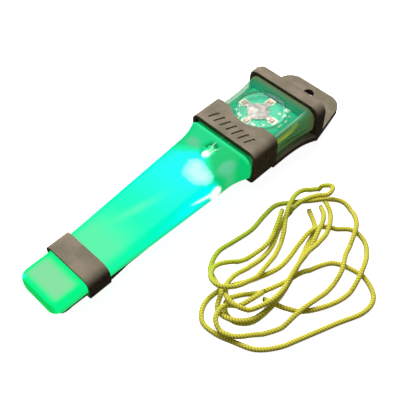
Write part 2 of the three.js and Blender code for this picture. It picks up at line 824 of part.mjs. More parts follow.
// A torsion spring: a coil round the pin with one leg on the clip and one under the bracket.
function clipSpring() {
  const lowLeg = clipThickness - springGrooveDepth + fit + springWireRadius;
  const startAngle = Math.PI + Math.asin((pinHeight - lowLeg) / springCoilRadius);
  const endAngle = Math.PI / 2 + springTurns * Math.PI * 2;
  const y = along(bracketStation);
  const count = springTurns * stepsPerTurn;
  const points = [new THREE.Vector3(-springHalfRun, y - springLegLength, lowLeg)];
  for (let step = 0; step <= count; step += 1) {
    const angle = blend(startAngle, endAngle, step / count);
    points.push(new THREE.Vector3(
      blend(-springHalfRun, springHalfRun, step / count),
      y + springCoilRadius * Math.cos(angle),
      pinHeight + springCoilRadius * Math.sin(angle),
    ));
  }
  points.push(new THREE.Vector3(springHalfRun, y - springLegLength, pinHeight + springCoilRadius));
  return tube(new THREE.CatmullRomCurve3(points), springWireRadius, count + stepsPerTurn, 6);
}

function bracketScrew(index) {
  const [x, station] = screwPlaces[index];
  const seat = bracketBottom - fit;
  const crown = seat - screwHeadHeight;
  const head = post(screwHeadRadius, x, station, [crown, seat], 20);
  const shank = post(screwRadius, x, station, [seat - screwHeadHeight / 4, spineTop - screwTipDrop], 16);
  const slot = block(
    [x - screwSlotHalfLength, x + screwSlotHalfLength],
    [station - screwSlotHalfWidth, station + screwSlotHalfWidth],
    [crown - overcut, seat - screwHeadHeight / 2],
  );
  return cut(joined(head, shank), slot);
}

// ---- Cords: routes over the surface beside the light, as X and Y ----
const cordRoutes = {
  cord_1: [
    [36, 25], [43, 20], [46, 12], [50, 0], [53, -12], [53, -24], [49, -29], [44, -29],
    [41, -25], [43, -20], [47, -15], [51, -7], [53, 3], [57, 12], [64, 15], [70, 15],
    [76, 11], [77, 4], [73, -6], [68, -19], [65, -26], [60, -32], [53, -35], [47, -37],
    [41, -37], [37, -33], [36, -27], [38, -20], [42, -12], [45, -2], [44, 9], [44, 18],
    [49, 25], [54, 29], [61, 27], [66, 19], [69, 6], [65, -6], [58, -14], [50, -17],
  ],
  cord_2: [
    [39, 28], [44, 23], [47, 15], [49, 7], [51, -2], [53, -9], [54, -16], [54, -22],
    [51, -28], [46, -31], [41, -30], [38, -25], [33, -23], [28, -20], [25, -13], [26, -5],
    [27, 3], [26, 11], [26, 18], [30, 24], [34, 29], [38, 34], [43, 37], [49, 35],
    [54, 30], [57, 23], [59, 17], [62, 11], [63, 5], [63, -3], [62, -12], [61, -20],
    [57, -28], [53, -34], [48, -36], [44, -34], [43, -29], [46, -25], [48, -20], [49, -15],
  ],
  cord_3: [
    [39, 30], [45, 26], [49, 18], [50, 6], [52, -4], [54, -12], [54, -18], [51, -24],
    [46, -27], [41, -26], [37, -20], [37, -12], [38, -4], [37, 3], [34, 10], [32, 17],
    [33, 23], [36, 28], [39, 32], [37, 37], [32, 35], [29, 29], [30, 22], [33, 15],
    [37, 9], [40, 2], [42, -6], [43, -15], [42, -22], [38, -26], [33, -25], [30, -20],
    [32, -13], [35, -6], [36, 1], [34, 8], [31, 15],
  ],
};

// A smooth line through a row of points, with samplesPerSpan samples to each span.
function smoothLine(points) {
  const count = points.length;
  const at = (index) => {
    if (index < 0) {
      return points[0].map((value, axis) => 2 * value - points[1][axis]);
    }
    if (index >= count) {
      return points[count - 1].map((value, axis) => 2 * value - points[count - 2][axis]);
    }
    return points[index];
  };
  const line = [];
  for (let span = 0; span + 1 < count; span += 1) {
    const [a, b, c, d] = [at(span - 1), at(span), at(span + 1), at(span + 2)];
    for (let step = 0; step < samplesPerSpan; step += 1) {
      const t = step / samplesPerSpan;
      line.push([0, 1].map((axis) => 0.5 * (
        2 * b[axis] + (c[axis] - a[axis]) * t
        + (2 * a[axis] - 5 * b[axis] + 4 * c[axis] - d[axis]) * t ** 2
        + (3 * b[axis] - a[axis] - 3 * c[axis] + d[axis]) * t ** 3
      )));
    }
  }
  line.push([...points[count - 1]]);
  return line;
}

// Lays the cords in turn: each pass rests on the passes laid before it, over a long low hump.
function laidCords() {
  const samples = [];
  Object.entries(cordRoutes).forEach(([name, route]) => {
    let run = 0;
    smoothLine(route).forEach(([x, y], index, line) => {
      run += index ? Math.hypot(x - line[index - 1][0], y - line[index - 1][1]) : 0;
      samples.push({ name, x, y, run, z: cordDiameter / 2 + cordLift });
    });
  });
  const pitch = cordDiameter + cordGap;
  const ownTurn = 2.5 * pitch;
  const crossings = [];
  samples.forEach((upper, index) => {
    for (let other = 0; other < index; other += 1) {
      const lower = samples[other];
      const apart = Math.hypot(upper.x - lower.x, upper.y - lower.y);
      const sameRun = upper.name === lower.name && upper.run - lower.run < ownTurn;
      if (apart < pitch && !sameRun) {
        crossings.push([index, other, Math.sqrt(pitch ** 2 - apart ** 2)]);
      }
    }
  });
  const humpReach = 12;
  const lift = (centre, height) => {
    for (const direction of [-1, 1]) {
      for (let index = centre; samples[index]?.name === samples[centre].name; index += direction) {
        const away = Math.abs(samples[index].run - samples[centre].run);
        if (away > humpReach) {
          break;
        }
        samples[index].z = Math.max(samples[index].z, height - humpCurve * away ** 2);
      }
    }
  };
  const passes = 6;
  for (let pass = 0; pass < passes; pass += 1) {
    crossings.forEach(([upper, lower, rise]) => {
      if (samples[lower].z + rise > samples[upper].z) {
        lift(upper, samples[lower].z + rise);
      }
    });
  }
  return samples;
}

const cordSamples = laidCords();
function cord(name) {
  const line = cordSamples.filter((sample) => sample.name === name);
  const length = line[line.length - 1].run;
  const points = line
    .filter((sample, index) => index % 3 === 0 || index === line.length - 1)
    .map(({ x, y, z }) => new THREE.Vector3(x, y, z));
  const stepLength = 2.5 * cordDiameter;
  return tube(new THREE.CatmullRomCurve3(points), cordDiameter / 2, Math.round(length / stepLength));
}

// ---- The whole light ----
const group = new THREE.Group();
function addPart(name, piece, material) {
  const geometry = piece.isBufferGeometry ? piece : geometryOf(piece);
  const mesh = new THREE.Mesh(geometry, material);
  mesh.name = name;
  group.add(mesh);
}

addPart('lens_body', lensBody(), lensGreen());
addPart('rubber_boot', rubberBoot(), earthRubber());
addPart('end_cap', endCap(), earthRubber());
addPart('cap_plug', capPlug(), blackPlastic());
addPart('cap_seal', capSeal(), blackPlastic());
addPart('battery_sled', batterySled(), blackPlastic());
addPart('coin_cell_lower', coinCell(lowerCellBottom), brightSteel());
addPart('coin_cell_upper', coinCell(upperCellBottom), brightSteel());
addPart('positive_contact', positiveContact(), brightSteel());
addPart('negative_spring', negativeSpring(), brightSteel());
addPart('battery_lead', batteryLead(), finish(0xa8a41c, 0.5));
addPart('circuit_board', circuitBoard(), boardGreen());
addPart('snap_dome', snapDome(), brightSteel());
addPart('button_pad', buttonPad(), lensGreen());
addPart('led_lamp', ledLamp(), finish(0xe8fff8, 0.1));
addPart('led_lead_anode', ledLead(1), brightSteel());
addPart('led_lead_cathode', ledLead(-1), brightSteel());
boardParts.forEach((row) => addPart(row[0], boardPart(row), paleCeramic()));
addPart('clip_bracket', clipBracket(), blackSteel());
addPart('bracket_screw_1', bracketScrew(0), brightSteel());
addPart('bracket_screw_2', bracketScrew(1), brightSteel());
addPart('webbing_clip', webbingClip(), blackSteel());
addPart('clip_pin', clipPin(), brightSteel());
addPart('clip_spring', clipSpring(), brightSteel());
Object.keys(cordRoutes).forEach((name) => addPart(name, cord(name), cordYellow()));

export default group;
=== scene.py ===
# %% [markdown]
# # A traffic baton light, finished in Blender
# The baton light is a clear green light guide in a rubber boot. Its frame, its moving bodies and every
# size were settled in the CAD model, so this file only adds looks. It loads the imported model, models
# finer pieces over the plain ones, and gives every surface a procedural finish. The camera and the cords
# come first, then the light from its lens to its small parts, and the floor and the lights come last.

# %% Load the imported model
from math import cos, pi, radians, sin, sqrt

import bmesh
import bpy
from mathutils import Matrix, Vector


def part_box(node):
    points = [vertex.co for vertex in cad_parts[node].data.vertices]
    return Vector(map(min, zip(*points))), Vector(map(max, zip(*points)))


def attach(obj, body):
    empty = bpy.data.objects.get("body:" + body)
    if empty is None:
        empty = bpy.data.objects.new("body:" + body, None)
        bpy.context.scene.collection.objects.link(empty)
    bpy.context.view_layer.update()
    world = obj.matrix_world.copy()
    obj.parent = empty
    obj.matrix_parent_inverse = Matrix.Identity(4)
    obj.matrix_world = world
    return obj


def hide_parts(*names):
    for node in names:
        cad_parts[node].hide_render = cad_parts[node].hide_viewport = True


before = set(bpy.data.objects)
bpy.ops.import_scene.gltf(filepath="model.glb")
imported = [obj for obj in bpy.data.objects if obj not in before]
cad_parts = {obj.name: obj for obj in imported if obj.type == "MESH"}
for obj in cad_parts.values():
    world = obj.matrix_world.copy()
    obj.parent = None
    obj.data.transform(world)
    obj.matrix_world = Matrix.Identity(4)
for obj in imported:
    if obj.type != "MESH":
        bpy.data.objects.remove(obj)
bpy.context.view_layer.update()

# %% [markdown]
# ## Places along the light
# A maker measures a long thing from one end. Here that end is the tip of the tongue, so a station is a
# distance in millimetres from the tip, and `at` turns it into Blender's Y in metres. Heights are measured
# up from the surface that the clip rests on. The pieces' own boxes give the ends that matter.

# %% Stations and heights
MM = 0.001
FIT = 0.3
LOWER_BAND_LENGTH = 8.8
BODY_LENGTH = 65.9
MIDDLE_BAND_LENGTH = 12.6
SHOULDER_LENGTH = 10
SHOULDER_GAP = 1.2
FLARE_LENGTH = 16.2
lens_low, lens_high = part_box("lens_body")
boot_low, boot_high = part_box("rubber_boot")
cap_low, cap_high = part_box("end_cap")


def at(station):
    return lens_low.y + station * MM


def station_of(y):
    return (y - lens_low.y) / MM


def mm_box(node):
    """A CAD node's box as X in mm, stations in mm and heights in mm."""
    low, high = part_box(node)
    return (low.x / MM, high.x / MM), (station_of(low.y), station_of(high.y)), (low.z / MM, high.z / MM)


def middle_of_node(node):
    return Vector([sum(span) / 2 for span in mm_box(node)])


BOOT_START = station_of(boot_low.y)
LOWER_BAND = (BOOT_START, BOOT_START + LOWER_BAND_LENGTH)
MIDDLE_START = LOWER_BAND[1] + BODY_LENGTH
MIDDLE_BAND = (MIDDLE_START, MIDDLE_START + MIDDLE_BAND_LENGTH)
SHOULDER = (MIDDLE_START - SHOULDER_GAP - SHOULDER_LENGTH, MIDDLE_START - SHOULDER_GAP)
LENS_END = station_of(lens_high.y)
FLARE_START = LENS_END - FLARE_LENGTH
PAD_ACROSS, PAD_ALONG, PAD_UP = mm_box("button_pad")
BUTTON_STATION = sum(PAD_ALONG) / 2
BUTTON_RADIUS = (PAD_ACROSS[1] - PAD_ACROSS[0]) / 2
LAMP = middle_of_node("led_lamp")
WIRE = middle_of_node("battery_lead")
print("lens ends at station", round(LENS_END, 2), "and the button sits at", round(BUTTON_STATION, 2))

# %% [markdown]
# ## The camera
# A small product is usually taken with a long lens from a short way off, which keeps its sides nearly
# parallel. The camera looks down at the light from its front right. The standard view transform keeps
# the strong greens of the lit guide as they are, where a filmic one would wash them out.

# %% Camera
AZIMUTH, ELEVATION, DISTANCE = radians(44.7), radians(51.9), 0.2591
AIM = Vector((0.00694, -0.00389, 0.007))
away = Vector((sin(AZIMUTH) * cos(ELEVATION), -cos(AZIMUTH) * cos(ELEVATION), sin(ELEVATION)))
camera_data = bpy.data.cameras.new("studio_camera")
camera_data.lens = 63
camera_data.sensor_width = 36
camera_data.clip_start = 0.01
camera = bpy.data.objects.new("studio_camera", camera_data)
camera.location = AIM + away * DISTANCE
camera.rotation_euler = (-away).to_track_quat("-Z", "Y").to_euler()
bpy.context.scene.collection.objects.link(camera)
bpy.context.scene.camera = camera
bpy.context.scene.view_settings.view_transform = "Standard"
print("camera", round(DISTANCE, 4), "m from", [round(value, 4) for value in AIM])

# %% [markdown]
# ## Materials as expressions
# A finish is a Principled shader whose colour, roughness and bump are worked out from the place on the
# piece. Wiring nodes by hand hides the arithmetic, so `Signal` wraps a socket and turns Python's own
# operators into Math nodes. `Finish` makes every other node through one method.

# %% Signal and Finish
class Signal:
    """A value that varies over a surface. Arithmetic on it adds Math nodes."""

    def __init__(self, finish, socket):
        self.finish = finish
        self.socket = socket

    def math(self, operation, *others, clamp=False):
        values = [self, *others]
        settings = {"operation": operation, "use_clamp": clamp}
        return self.finish.node("ShaderNodeMath", settings, dict(enumerate(values)))

    def __add__(self, other):
        return self.math("ADD", other)

    def __sub__(self, other):
        return self.math("SUBTRACT", other)

    def __mul__(self, other):
        return self.math("MULTIPLY", other)

    def __truediv__(self, other):
        return self.math("DIVIDE", other)

    def __rsub__(self, other):
        return (self * -1) + other

    __radd__ = __add__
    __rmul__ = __mul__

    def size(self):
        return self.math("ABSOLUTE")

    def most(self, other):
        return self.math("MAXIMUM", other)

    def clamped(self):
        return self.math("ADD", 0.0, clamp=True)

    def rise(self, low, high):
        """0 below low, 1 above high, and a smooth step between them; low may be the larger."""
        values = {"Value": self, "From Min": min(low, high), "From Max": max(low, high)}
        step = self.finish.node("ShaderNodeMapRange", {"interpolation_type": "SMOOTHSTEP"}, values)
        return step if low < high else 1 - step

    def hill(self, centre, width):
        """A bell curve, 1 at its centre."""
        share = (self - centre) / width
        return (share * share * -1).math("EXPONENT")


def linear(red, green, blue):
    """A colour named by its screen values, 0 to 255, as the shader's linear one."""
    shares = [value / 255 for value in (red, green, blue)]
    curved = [share / 12.92 if share <= 0.04045 else ((share + 0.055) / 1.055) ** 2.4 for share in shares]
    return (*curved, 1)


class Finish:
    """A material whose inputs are set by name, in whole values or as signals."""

    def __init__(self, name):
        self.material = bpy.data.materials.new(name)
        self.material.use_nodes = True
        self.nodes = self.material.node_tree.nodes
        self.links = self.material.node_tree.links
        self.shader = next(node for node in self.nodes if node.type == "BSDF_PRINCIPLED")

    def node(self, kind, settings=None, values=None, output=0):
        made = self.nodes.new(kind)
        for key, value in (settings or {}).items():
            if key == "stops":
                self.set_stops(made.color_ramp, value)
            else:
                setattr(made, key, value)
        self.fill(made, values or {})
        return Signal(self, made.outputs[output])

    def fill(self, node, values):
        for key, value in values.items():
            if isinstance(value, Signal):
                self.links.new(value.socket, node.inputs[key])
            else:
                node.inputs[key].default_value = value

    def set_stops(self, ramp, stops):
        while len(ramp.elements) < len(stops):
            ramp.elements.new(0.5)
        for element, (position, colour) in zip(ramp.elements, stops):
            element.position = position
            element.color = colour

    def place(self):
        """The place on the light: X in mm, the station in mm, and the height in mm."""
        where = self.node("ShaderNodeTexCoord", output=3)
        parts = self.node("ShaderNodeSeparateXYZ", values={"Vector": where}).socket.node
        across, along, up = (Signal(self, parts.outputs[index]) / MM for index in range(3))
        return across, along - lens_low.y / MM, up

    def facing(self):
        """The surface's own direction, as three numbers."""
        where = self.node("ShaderNodeTexCoord", output=1)
        parts = self.node("ShaderNodeSeparateXYZ", values={"Vector": where}).socket.node
        return [Signal(self, parts.outputs[index]) for index in range(3)]

    def noise(self, cell, detail=2, stretch=(1, 1, 1)):
        """Cloudy noise with cells of a size in mm, from 0 to 1."""
        where = self.node("ShaderNodeTexCoord", output=3)
        scaled = self.node("ShaderNodeVectorMath", {"operation": "MULTIPLY"}, {0: where, 1: stretch})
        values = {"Vector": scaled, "Scale": 1 / (cell * MM), "Detail": detail}
        return self.node("ShaderNodeTexNoise", values=values)

    def mix(self, first, second, share):
        """One colour at share 0 and another at share 1."""
        settings = {"data_type": "RGBA", "clamp_factor": True}
        return self.node("ShaderNodeMix", settings, {0: share, 6: first, 7: second}, output=2)

    def ramp(self, signal, stops):
        return self.node("ShaderNodeValToRGB", {"stops": stops}, {0: signal})

    def bump(self, height, strength=0.3, distance=0.1):
        values = {"Height": height, "Strength": strength, "Distance": distance * MM}
        self.set({"Normal": self.node("ShaderNodeBump", values=values)})

    def set(self, values):
        self.fill(self.shader, values)
        return self


print("shader helpers ready")

# %% [markdown]
# ## The spare cords
# Three lengths of ribbed elastic cord come with the light, to lash it to webbing, and lie loose beside
# it. Each is one fixed length, so its route over the surface is given as points, smoothed by a
# Catmull-Rom curve, and then laid: where a pass crosses one that is already there, it climbs over it in
# a long low hump. The tube is made by mesh code, because its ribs follow the cord's own length.

# %% Routes of the cords, X and Y in millimetres
CORD_DIAMETER = 1.9
CORD_GAP = 0.5
CORD_LIFT = 0.1
HUMP_CURVE = 0.03
HUMP_REACH = 12
SAME_RUN_PITCHES = 2.5
LAYING_PASSES = 6
SAMPLES_PER_SPAN = 8
CORD_ROUTES = {
    "cord_1": [
        (36, 25), (43, 20), (46, 12), (50, 0), (53, -12), (53, -24), (49, -29), (44, -29), (41, -25),
        (43, -20), (47, -15), (51, -7), (53, 3), (57, 12), (64, 15), (70, 15), (76, 11), (77, 4),
        (73, -6), (68, -19), (65, -26), (60, -32), (53, -35), (47, -37), (41, -37), (37, -33), (36, -27),
        (38, -20), (42, -12), (45, -2), (44, 9), (44, 18), (49, 25), (54, 29), (61, 27), (66, 19),
        (69, 6), (65, -6), (58, -14), (50, -17),
    ],
    "cord_2": [
        (39, 28), (44, 23), (47, 15), (49, 7), (51, -2), (53, -9), (54, -16), (54, -22), (51, -28),
        (46, -31), (41, -30), (38, -25), (33, -23), (28, -20), (25, -13), (26, -5), (27, 3), (26, 11),
        (26, 18), (30, 24), (34, 29), (38, 34), (43, 37), (49, 35), (54, 30), (57, 23), (59, 17),
        (62, 11), (63, 5), (63, -3), (62, -12), (61, -20), (57, -28), (53, -34), (48, -36), (44, -34),
        (43, -29), (46, -25), (48, -20), (49, -15),
    ],
    "cord_3": [
        (39, 30), (45, 26), (49, 18), (50, 6), (52, -4), (54, -12), (54, -18), (51, -24), (46, -27),
        (41, -26), (37, -20), (37, -12), (38, -4), (37, 3), (34, 10), (32, 17), (33, 23), (36, 28),
        (39, 32), (37, 37), (32, 35), (29, 29), (30, 22), (33, 15), (37, 9), (40, 2), (42, -6),
        (43, -15), (42, -22), (38, -26), (33, -25), (30, -20), (32, -13), (35, -6), (36, 1), (34, 8),
        (31, 15),
    ],
}


def smooth_line(points):
    """Samples of a smooth line through a row of points."""
    points = [Vector(point) for point in points]
    padded = [2 * points[0] - points[1], *points, 2 * points[-1] - points[-2]]
    line = []
    for a, b, c, d in zip(padded, padded[1:], padded[2:], padded[3:]):
        for step in range(SAMPLES_PER_SPAN):
            t = step / SAMPLES_PER_SPAN
            bend = (2 * a - 5 * b + 4 * c - d) * t**2 + (3 * b - a - 3 * c + d) * t**3
            line.append(0.5 * (2 * b + (c - a) * t + bend))
    return [*line, points[-1]]


# %% Lay the cords over each other
def lay_cords(routes):
    """Each cord's samples, as [X, Y, height, run] in mm."""
    samples = []
    for name, route in routes.items():
        run, last = 0, None
        for point in smooth_line(route):
            run += (point - last).length if last else 0
            last = point
            samples.append([name, point, run, CORD_DIAMETER / 2 + CORD_LIFT])
    pitch = CORD_DIAMETER + CORD_GAP
    crossings = []
    for index, (name, point, run, _) in enumerate(samples):
        for other in range(index):
            lower = samples[other]
            apart = (point - lower[1]).length
            same_run = name == lower[0] and run - lower[2] < SAME_RUN_PITCHES * pitch
            if apart < pitch and not same_run:
                crossings.append((index, other, sqrt(pitch**2 - apart**2)))
    for _ in range(LAYING_PASSES):
        for upper, lower, rise in crossings:
            if samples[lower][3] + rise > samples[upper][3]:
                lift(samples, upper, samples[lower][3] + rise)
    laid = {name: [] for name in routes}
    for name, point, run, height in samples:
        laid[name].append((point.x, point.y, height, run))
    return laid


def lift(samples, centre, height):
    """Raises one sample and the stretch about it over a long low hump."""
    name, _, run, _ = samples[centre]
    for direction in (-1, 1):
        index = centre
        while 0 <= index < len(samples) and samples[index][0] == name:
            away_from = abs(samples[index][2] - run)
            if away_from > HUMP_REACH:
                break
            samples[index][3] = max(samples[index][3], height - HUMP_CURVE * away_from**2)
            index += direction


laid_cords = lay_cords(CORD_ROUTES)
print("cords laid over", {name: round(line[-1][3], 1) for name, line in laid_cords.items()}, "mm")

# %% [markdown]
# Elastic cord has a woven sleeve round rubber strands. Its weave reads as short ribs that run round the
# cord on a slight slant, so the tube has four rings to each rib, and the sleeve's own UV runs along and
# round it for the material.

# %% Ribbed tube
RIB_PITCH = 1.0
RIB_HEIGHT = 0.055
RINGS_PER_RIB = 4
CORD_SIDES = 14
TIP_LENGTH = 1.2
TIP_SHARE = 0.72


def resample(line, spacing):
    """Evenly spaced points along a line of (x, y, z, run)."""
    count = int(line[-1][3] / spacing)
    found, span = [], 0
    for index in range(count + 1):
        run = line[-1][3] * index / count
        while span + 2 < len(line) and line[span + 1][3] < run:
            span += 1
        low, high = line[span], line[span + 1]
        share = (run - low[3]) / (high[3] - low[3])
        found.append((Vector(low[:3]).lerp(Vector(high[:3]), share), run))
    return found


def rib_radius(run, turn, whole):
    """The sleeve's radius, with its ribs, rounded in at both tips."""
    rib = RIB_HEIGHT * cos(2 * pi * (run / RIB_PITCH) + 2 * turn)
    radius = CORD_DIAMETER / 2 - RIB_HEIGHT + rib
    tip = min(run, whole - run, TIP_LENGTH) / TIP_LENGTH
    return radius * (TIP_SHARE + (1 - TIP_SHARE) * sqrt(1 - (1 - tip) ** 2))


def cord_tube(name, line):
    points = resample(line, RIB_PITCH / RINGS_PER_RIB)
    whole = line[-1][3]
    verts, faces, sleeve = [], [], []
    for index, (point, run) in enumerate(points):
        before = points[max(index - 1, 0)][0]
        after = points[min(index + 1, len(points) - 1)][0]
        ahead = (after - before).normalized()
        side = ahead.cross(Vector((0, 0, 1))).normalized()
        up = side.cross(ahead)
        for corner in range(CORD_SIDES):
            turn = 2 * pi * corner / CORD_SIDES
            radius = rib_radius(run, turn, whole)
            verts.append((point + side * radius * cos(turn) + up * radius * sin(turn)) * MM)
    for index in range(len(points) - 1):
        for corner in range(CORD_SIDES):
            near, far = index * CORD_SIDES, (index + 1) * CORD_SIDES
            follow = (corner + 1) % CORD_SIDES
            faces.append((near + corner, near + follow, far + follow, far + corner))
            run, next_run = points[index][1], points[index + 1][1]
            turn, next_turn = corner / CORD_SIDES, (corner + 1) / CORD_SIDES
            sleeve += [(run, turn), (run, next_turn), (next_run, next_turn), (next_run, turn)]
    ends = (range(CORD_SIDES - 1, -1, -1), range(len(verts) - CORD_SIDES, len(verts)))
    for end, run in zip(ends, (0, whole)):
        faces.append(tuple(end))
        sleeve += [(run, corner / CORD_SIDES) for corner in range(CORD_SIDES)]
    mesh = bpy.data.meshes.new(name)
    mesh.from_pydata(verts, [], faces)
    layer = mesh.uv_layers.new(name="sleeve")
    layer.data.foreach_set("uv", [number for pair in sleeve for number in pair])
    mesh.polygons.foreach_set("use_smooth", [len(face) == 4 for face in faces])
    piece = bpy.data.objects.new(name, mesh)
    bpy.context.scene.collection.objects.link(piece)
    return piece, [point * MM for point, _ in points]


# %% Woven sleeve
def woven_sleeve(name, whole):
    """Yellow-green elastic sleeve: bright ribs, olive gaps, and a singed tip at each end."""
    finish = Finish(name)
    sleeve = finish.node("ShaderNodeUVMap", {"uv_map": "sleeve"})
    parts = finish.node("ShaderNodeSeparateXYZ", values={"Vector": sleeve}).socket.node
    run, turn = Signal(finish, parts.outputs[0]), Signal(finish, parts.outputs[1])
    wave = (run * (2 * pi / RIB_PITCH) + turn * (4 * pi)).math("COSINE")
    strands = (run * (2 * pi / RIB_PITCH * 0.5) - turn * (2 * pi * 7)).math("COSINE")
    cloud = finish.noise(14, 2)
    across, _, _ = finish.place()
    nap = finish.noise(0.25, 2)
    bright = finish.mix(linear(252, 238, 84), linear(240, 238, 70), (cloud * 1.2 - 0.1).clamped())
    # Greener towards the light: a painted green spill of the guide's glow on the cords near it.
    bright = finish.mix(linear(218, 242, 58), bright, across.rise(24, 40))
    gap = finish.mix(linear(140, 124, 28), linear(180, 164, 46), nap)
    worn = finish.mix(gap, bright, (wave * 0.42 + strands * 0.16 + nap * 0.3 + 0.64).clamped())
    singed = run.rise(1.1, 0.2).most(run.rise(whole - 1.1, whole - 0.2))
    finish.set({
        "Base Color": finish.mix(worn, linear(84, 62, 30), singed),
        "Roughness": 0.72 + nap * 0.2,
        "Sheen Weight": 0.25,
        "Sheen Roughness": 0.4,
    })
    finish.bump(strands * 0.35 + nap * 0.6, strength=0.5, distance=0.08)
    return finish.material


for cord_name, cord_line in laid_cords.items():
    cord_piece, centreline = cord_tube(cord_name + "_sleeve", cord_line)
    cord_piece.data.materials.append(woven_sleeve(cord_name + "_sleeve", cord_line[-1][3]))
    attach(cord_piece, "light")
    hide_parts(cord_name)
    sum((end - start).length for start, end in zip(centreline, centreline[1:]))
    print(cord_piece.name, len(cord_piece.data.polygons), "faces")

# %% [markdown]
# ## Working in edit mode
# Every new piece is modelled as by hand: a primitive goes in at its place, then its faces are extruded,
# inset and bevelled. Operators act on the selection, so `editing` opens edit mode with nothing selected,
# and `pick` selects by place: it hands a test the middle of each face, edge or vertex as X in mm,
# the station in mm and the height in mm.

# %% Modelling helpers
from contextlib import contextmanager


def add(primitive, name, **settings):
    """Adds a primitive with everything else deselected, and names it."""
    bpy.ops.object.select_all(action="DESELECT")
    getattr(bpy.ops.mesh, "primitive_" + primitive + "_add")(**settings)
    piece = bpy.context.object
    piece.name = name
    return piece


def make_active(piece):
    bpy.ops.object.select_all(action="DESELECT")
    piece.select_set(True)
    bpy.context.view_layer.objects.active = piece


def settle(piece):
    """Moves the object's place, turn and scale into its mesh."""
    make_active(piece)
    bpy.ops.object.transform_apply(location=True, rotation=True, scale=True)
    return piece


@contextmanager
def editing(piece, mode="FACE"):
    make_active(piece)
    bpy.ops.object.mode_set(mode="EDIT")
    bpy.ops.mesh.select_mode(type=mode)
    bpy.ops.mesh.select_all(action="DESELECT")
    yield
    bpy.ops.object.mode_set(mode="OBJECT")


def middle_of(element):
    corners = element.verts if hasattr(element, "verts") else [element]
    middle = sum((corner.co for corner in corners), Vector()) / len(corners)
    return Vector((middle.x / MM, station_of(middle.y), middle.z / MM))


def pick(piece, kind, wanted):
    """Selects the faces, edges or verts whose middle passes a test, and nothing else."""
    bpy.ops.mesh.select_all(action="DESELECT")
    mesh = bmesh.from_edit_mesh(piece.data)
    for element in getattr(mesh, kind):
        if wanted(middle_of(element), element):
            element.select_set(True)
    mesh.select_flush_mode()
    bmesh.update_edit_mesh(piece.data)


def pick_top(piece):
    pick(piece, "faces", lambda middle, face: face.normal.z > 0.9)


def select_all():
    bpy.ops.mesh.select_all(action="SELECT")


def inset(width):
    bpy.ops.mesh.inset(thickness=width * MM)


def extrude(across=0, along=0, up=0):
    """Draws the selection out by a step in mm."""
    step = (across * MM, along * MM, up * MM)
    bpy.ops.mesh.extrude_region_move(TRANSFORM_OT_translate={"value": step})


def shift(across=0, along=0, up=0):
    """Moves the selection by a step in mm."""
    bpy.ops.transform.translate(value=(across * MM, along * MM, up * MM))


def resize(value, x, station, height):
    """Scales the selection about a place."""
    bpy.ops.transform.resize(value=value, center_override=(x * MM, at(station), height * MM))


def modify(piece, kind, **settings):
    """Adds a modifier and applies it."""
    make_active(piece)
    modifier = piece.modifiers.new(kind.lower(), kind)
    for key, value in settings.items():
        setattr(modifier, key, value)
    bpy.ops.object.modifier_apply(modifier=modifier.name)
    return piece


def boolean(piece, tool, operation="DIFFERENCE"):
    """Cuts or joins another piece, which is then removed."""
    modify(piece, "BOOLEAN", operation=operation, object=tool, solver="EXACT")
    bpy.data.objects.remove(tool)
    return piece


def smooth(piece, degrees=35):
    make_active(piece)
    bpy.ops.object.shade_smooth_by_angle(angle=radians(degrees))
    return piece


def soften(piece, width, segments=3, degrees=35):
    """Rounds every sharp edge by a width in mm."""
    modify(
        piece, "BEVEL", width=width * MM, segments=segments, limit_method="ANGLE",
        angle_limit=radians(degrees), use_clamp_overlap=True,
    )
    smooth(piece)
    return modify(piece, "WEIGHTED_NORMAL", keep_sharp=True)


def join(pieces, name):
    """Several pieces as one object."""
    bpy.ops.object.select_all(action="DESELECT")
    for piece in pieces:
        piece.select_set(True)
    bpy.context.view_layer.objects.active = pieces[0]
    bpy.ops.object.join()
    pieces[0].name = name
    return pieces[0]


def hand_over(piece, material, body, slot, *nodes):
    """Gives a finished piece its material, its body and the CAD nodes that it stands for; its slot is not
    used.
    """
    piece.data.materials.clear()
    piece.data.materials.append(material)
    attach(piece, body)
    if nodes:
        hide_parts(*nodes)
    print(piece.name, len(piece.data.polygons), "faces")
    return piece


def block(name, across, along, up):
    """A box between two X, two stations and two heights."""
    middle = [(across[0] + across[1]) / 2 * MM, at((along[0] + along[1]) / 2), (up[0] + up[1]) / 2 * MM]
    piece = add("cube", name, size=1, location=middle)
    piece.scale = [(span[1] - span[0]) * MM for span in (across, along, up)]
    return settle(piece)


def post(name, radius, x, station, up, sides=64):
    """An upright cylinder at an X and a station, between two heights."""
    piece = add(
        "cylinder", name, vertices=sides, radius=radius * MM, depth=(up[1] - up[0]) * MM,
        location=(x * MM, at(station), (up[0] + up[1]) / 2 * MM),
    )
    return settle(piece)


# %% [markdown]
# ## Cross-sections
# The lens and the boot are long mouldings with a rounded rectangle for a section. A hand modeller starts
# with a plane that stands across the light, rounds its corners with a vertex bevel, and extrudes it from
# station to station, scaling each new ring about its own floor. The corner radii grow with the ring,
# as they do on the real moulding.

# %% Section and stretch
def section(name, station, half_width, bottom, top, corners, steps=6):
    """A rounded rectangle across the light. Corners are the lower and the upper radius."""
    middle = (0, at(station), (bottom + top) / 2 * MM)
    piece = add("plane", name, size=2, location=middle, rotation=(pi / 2, 0, 0))
    piece.scale = (half_width * MM, (top - bottom) / 2 * MM, 1)
    settle(piece)
    with editing(piece, "VERT"):
        for height, radius in zip((bottom, top), corners):
            def in_corner(place, _):
                return abs(place.z - height) < 0.01 and abs(place.x) > half_width - 0.01
            pick(piece, "verts", in_corner)
            bpy.ops.mesh.bevel(offset=radius * MM, segments=steps, affect="VERTICES", clamp_overlap=False)
    return piece


def stretch(station_from, station_to, wide, tall, floor):
    """Extrudes what is selected along the light and scales the new ring about its floor."""
    extrude(along=station_to - station_from)
    resize((wide, 1, tall), 0, station_to, floor)


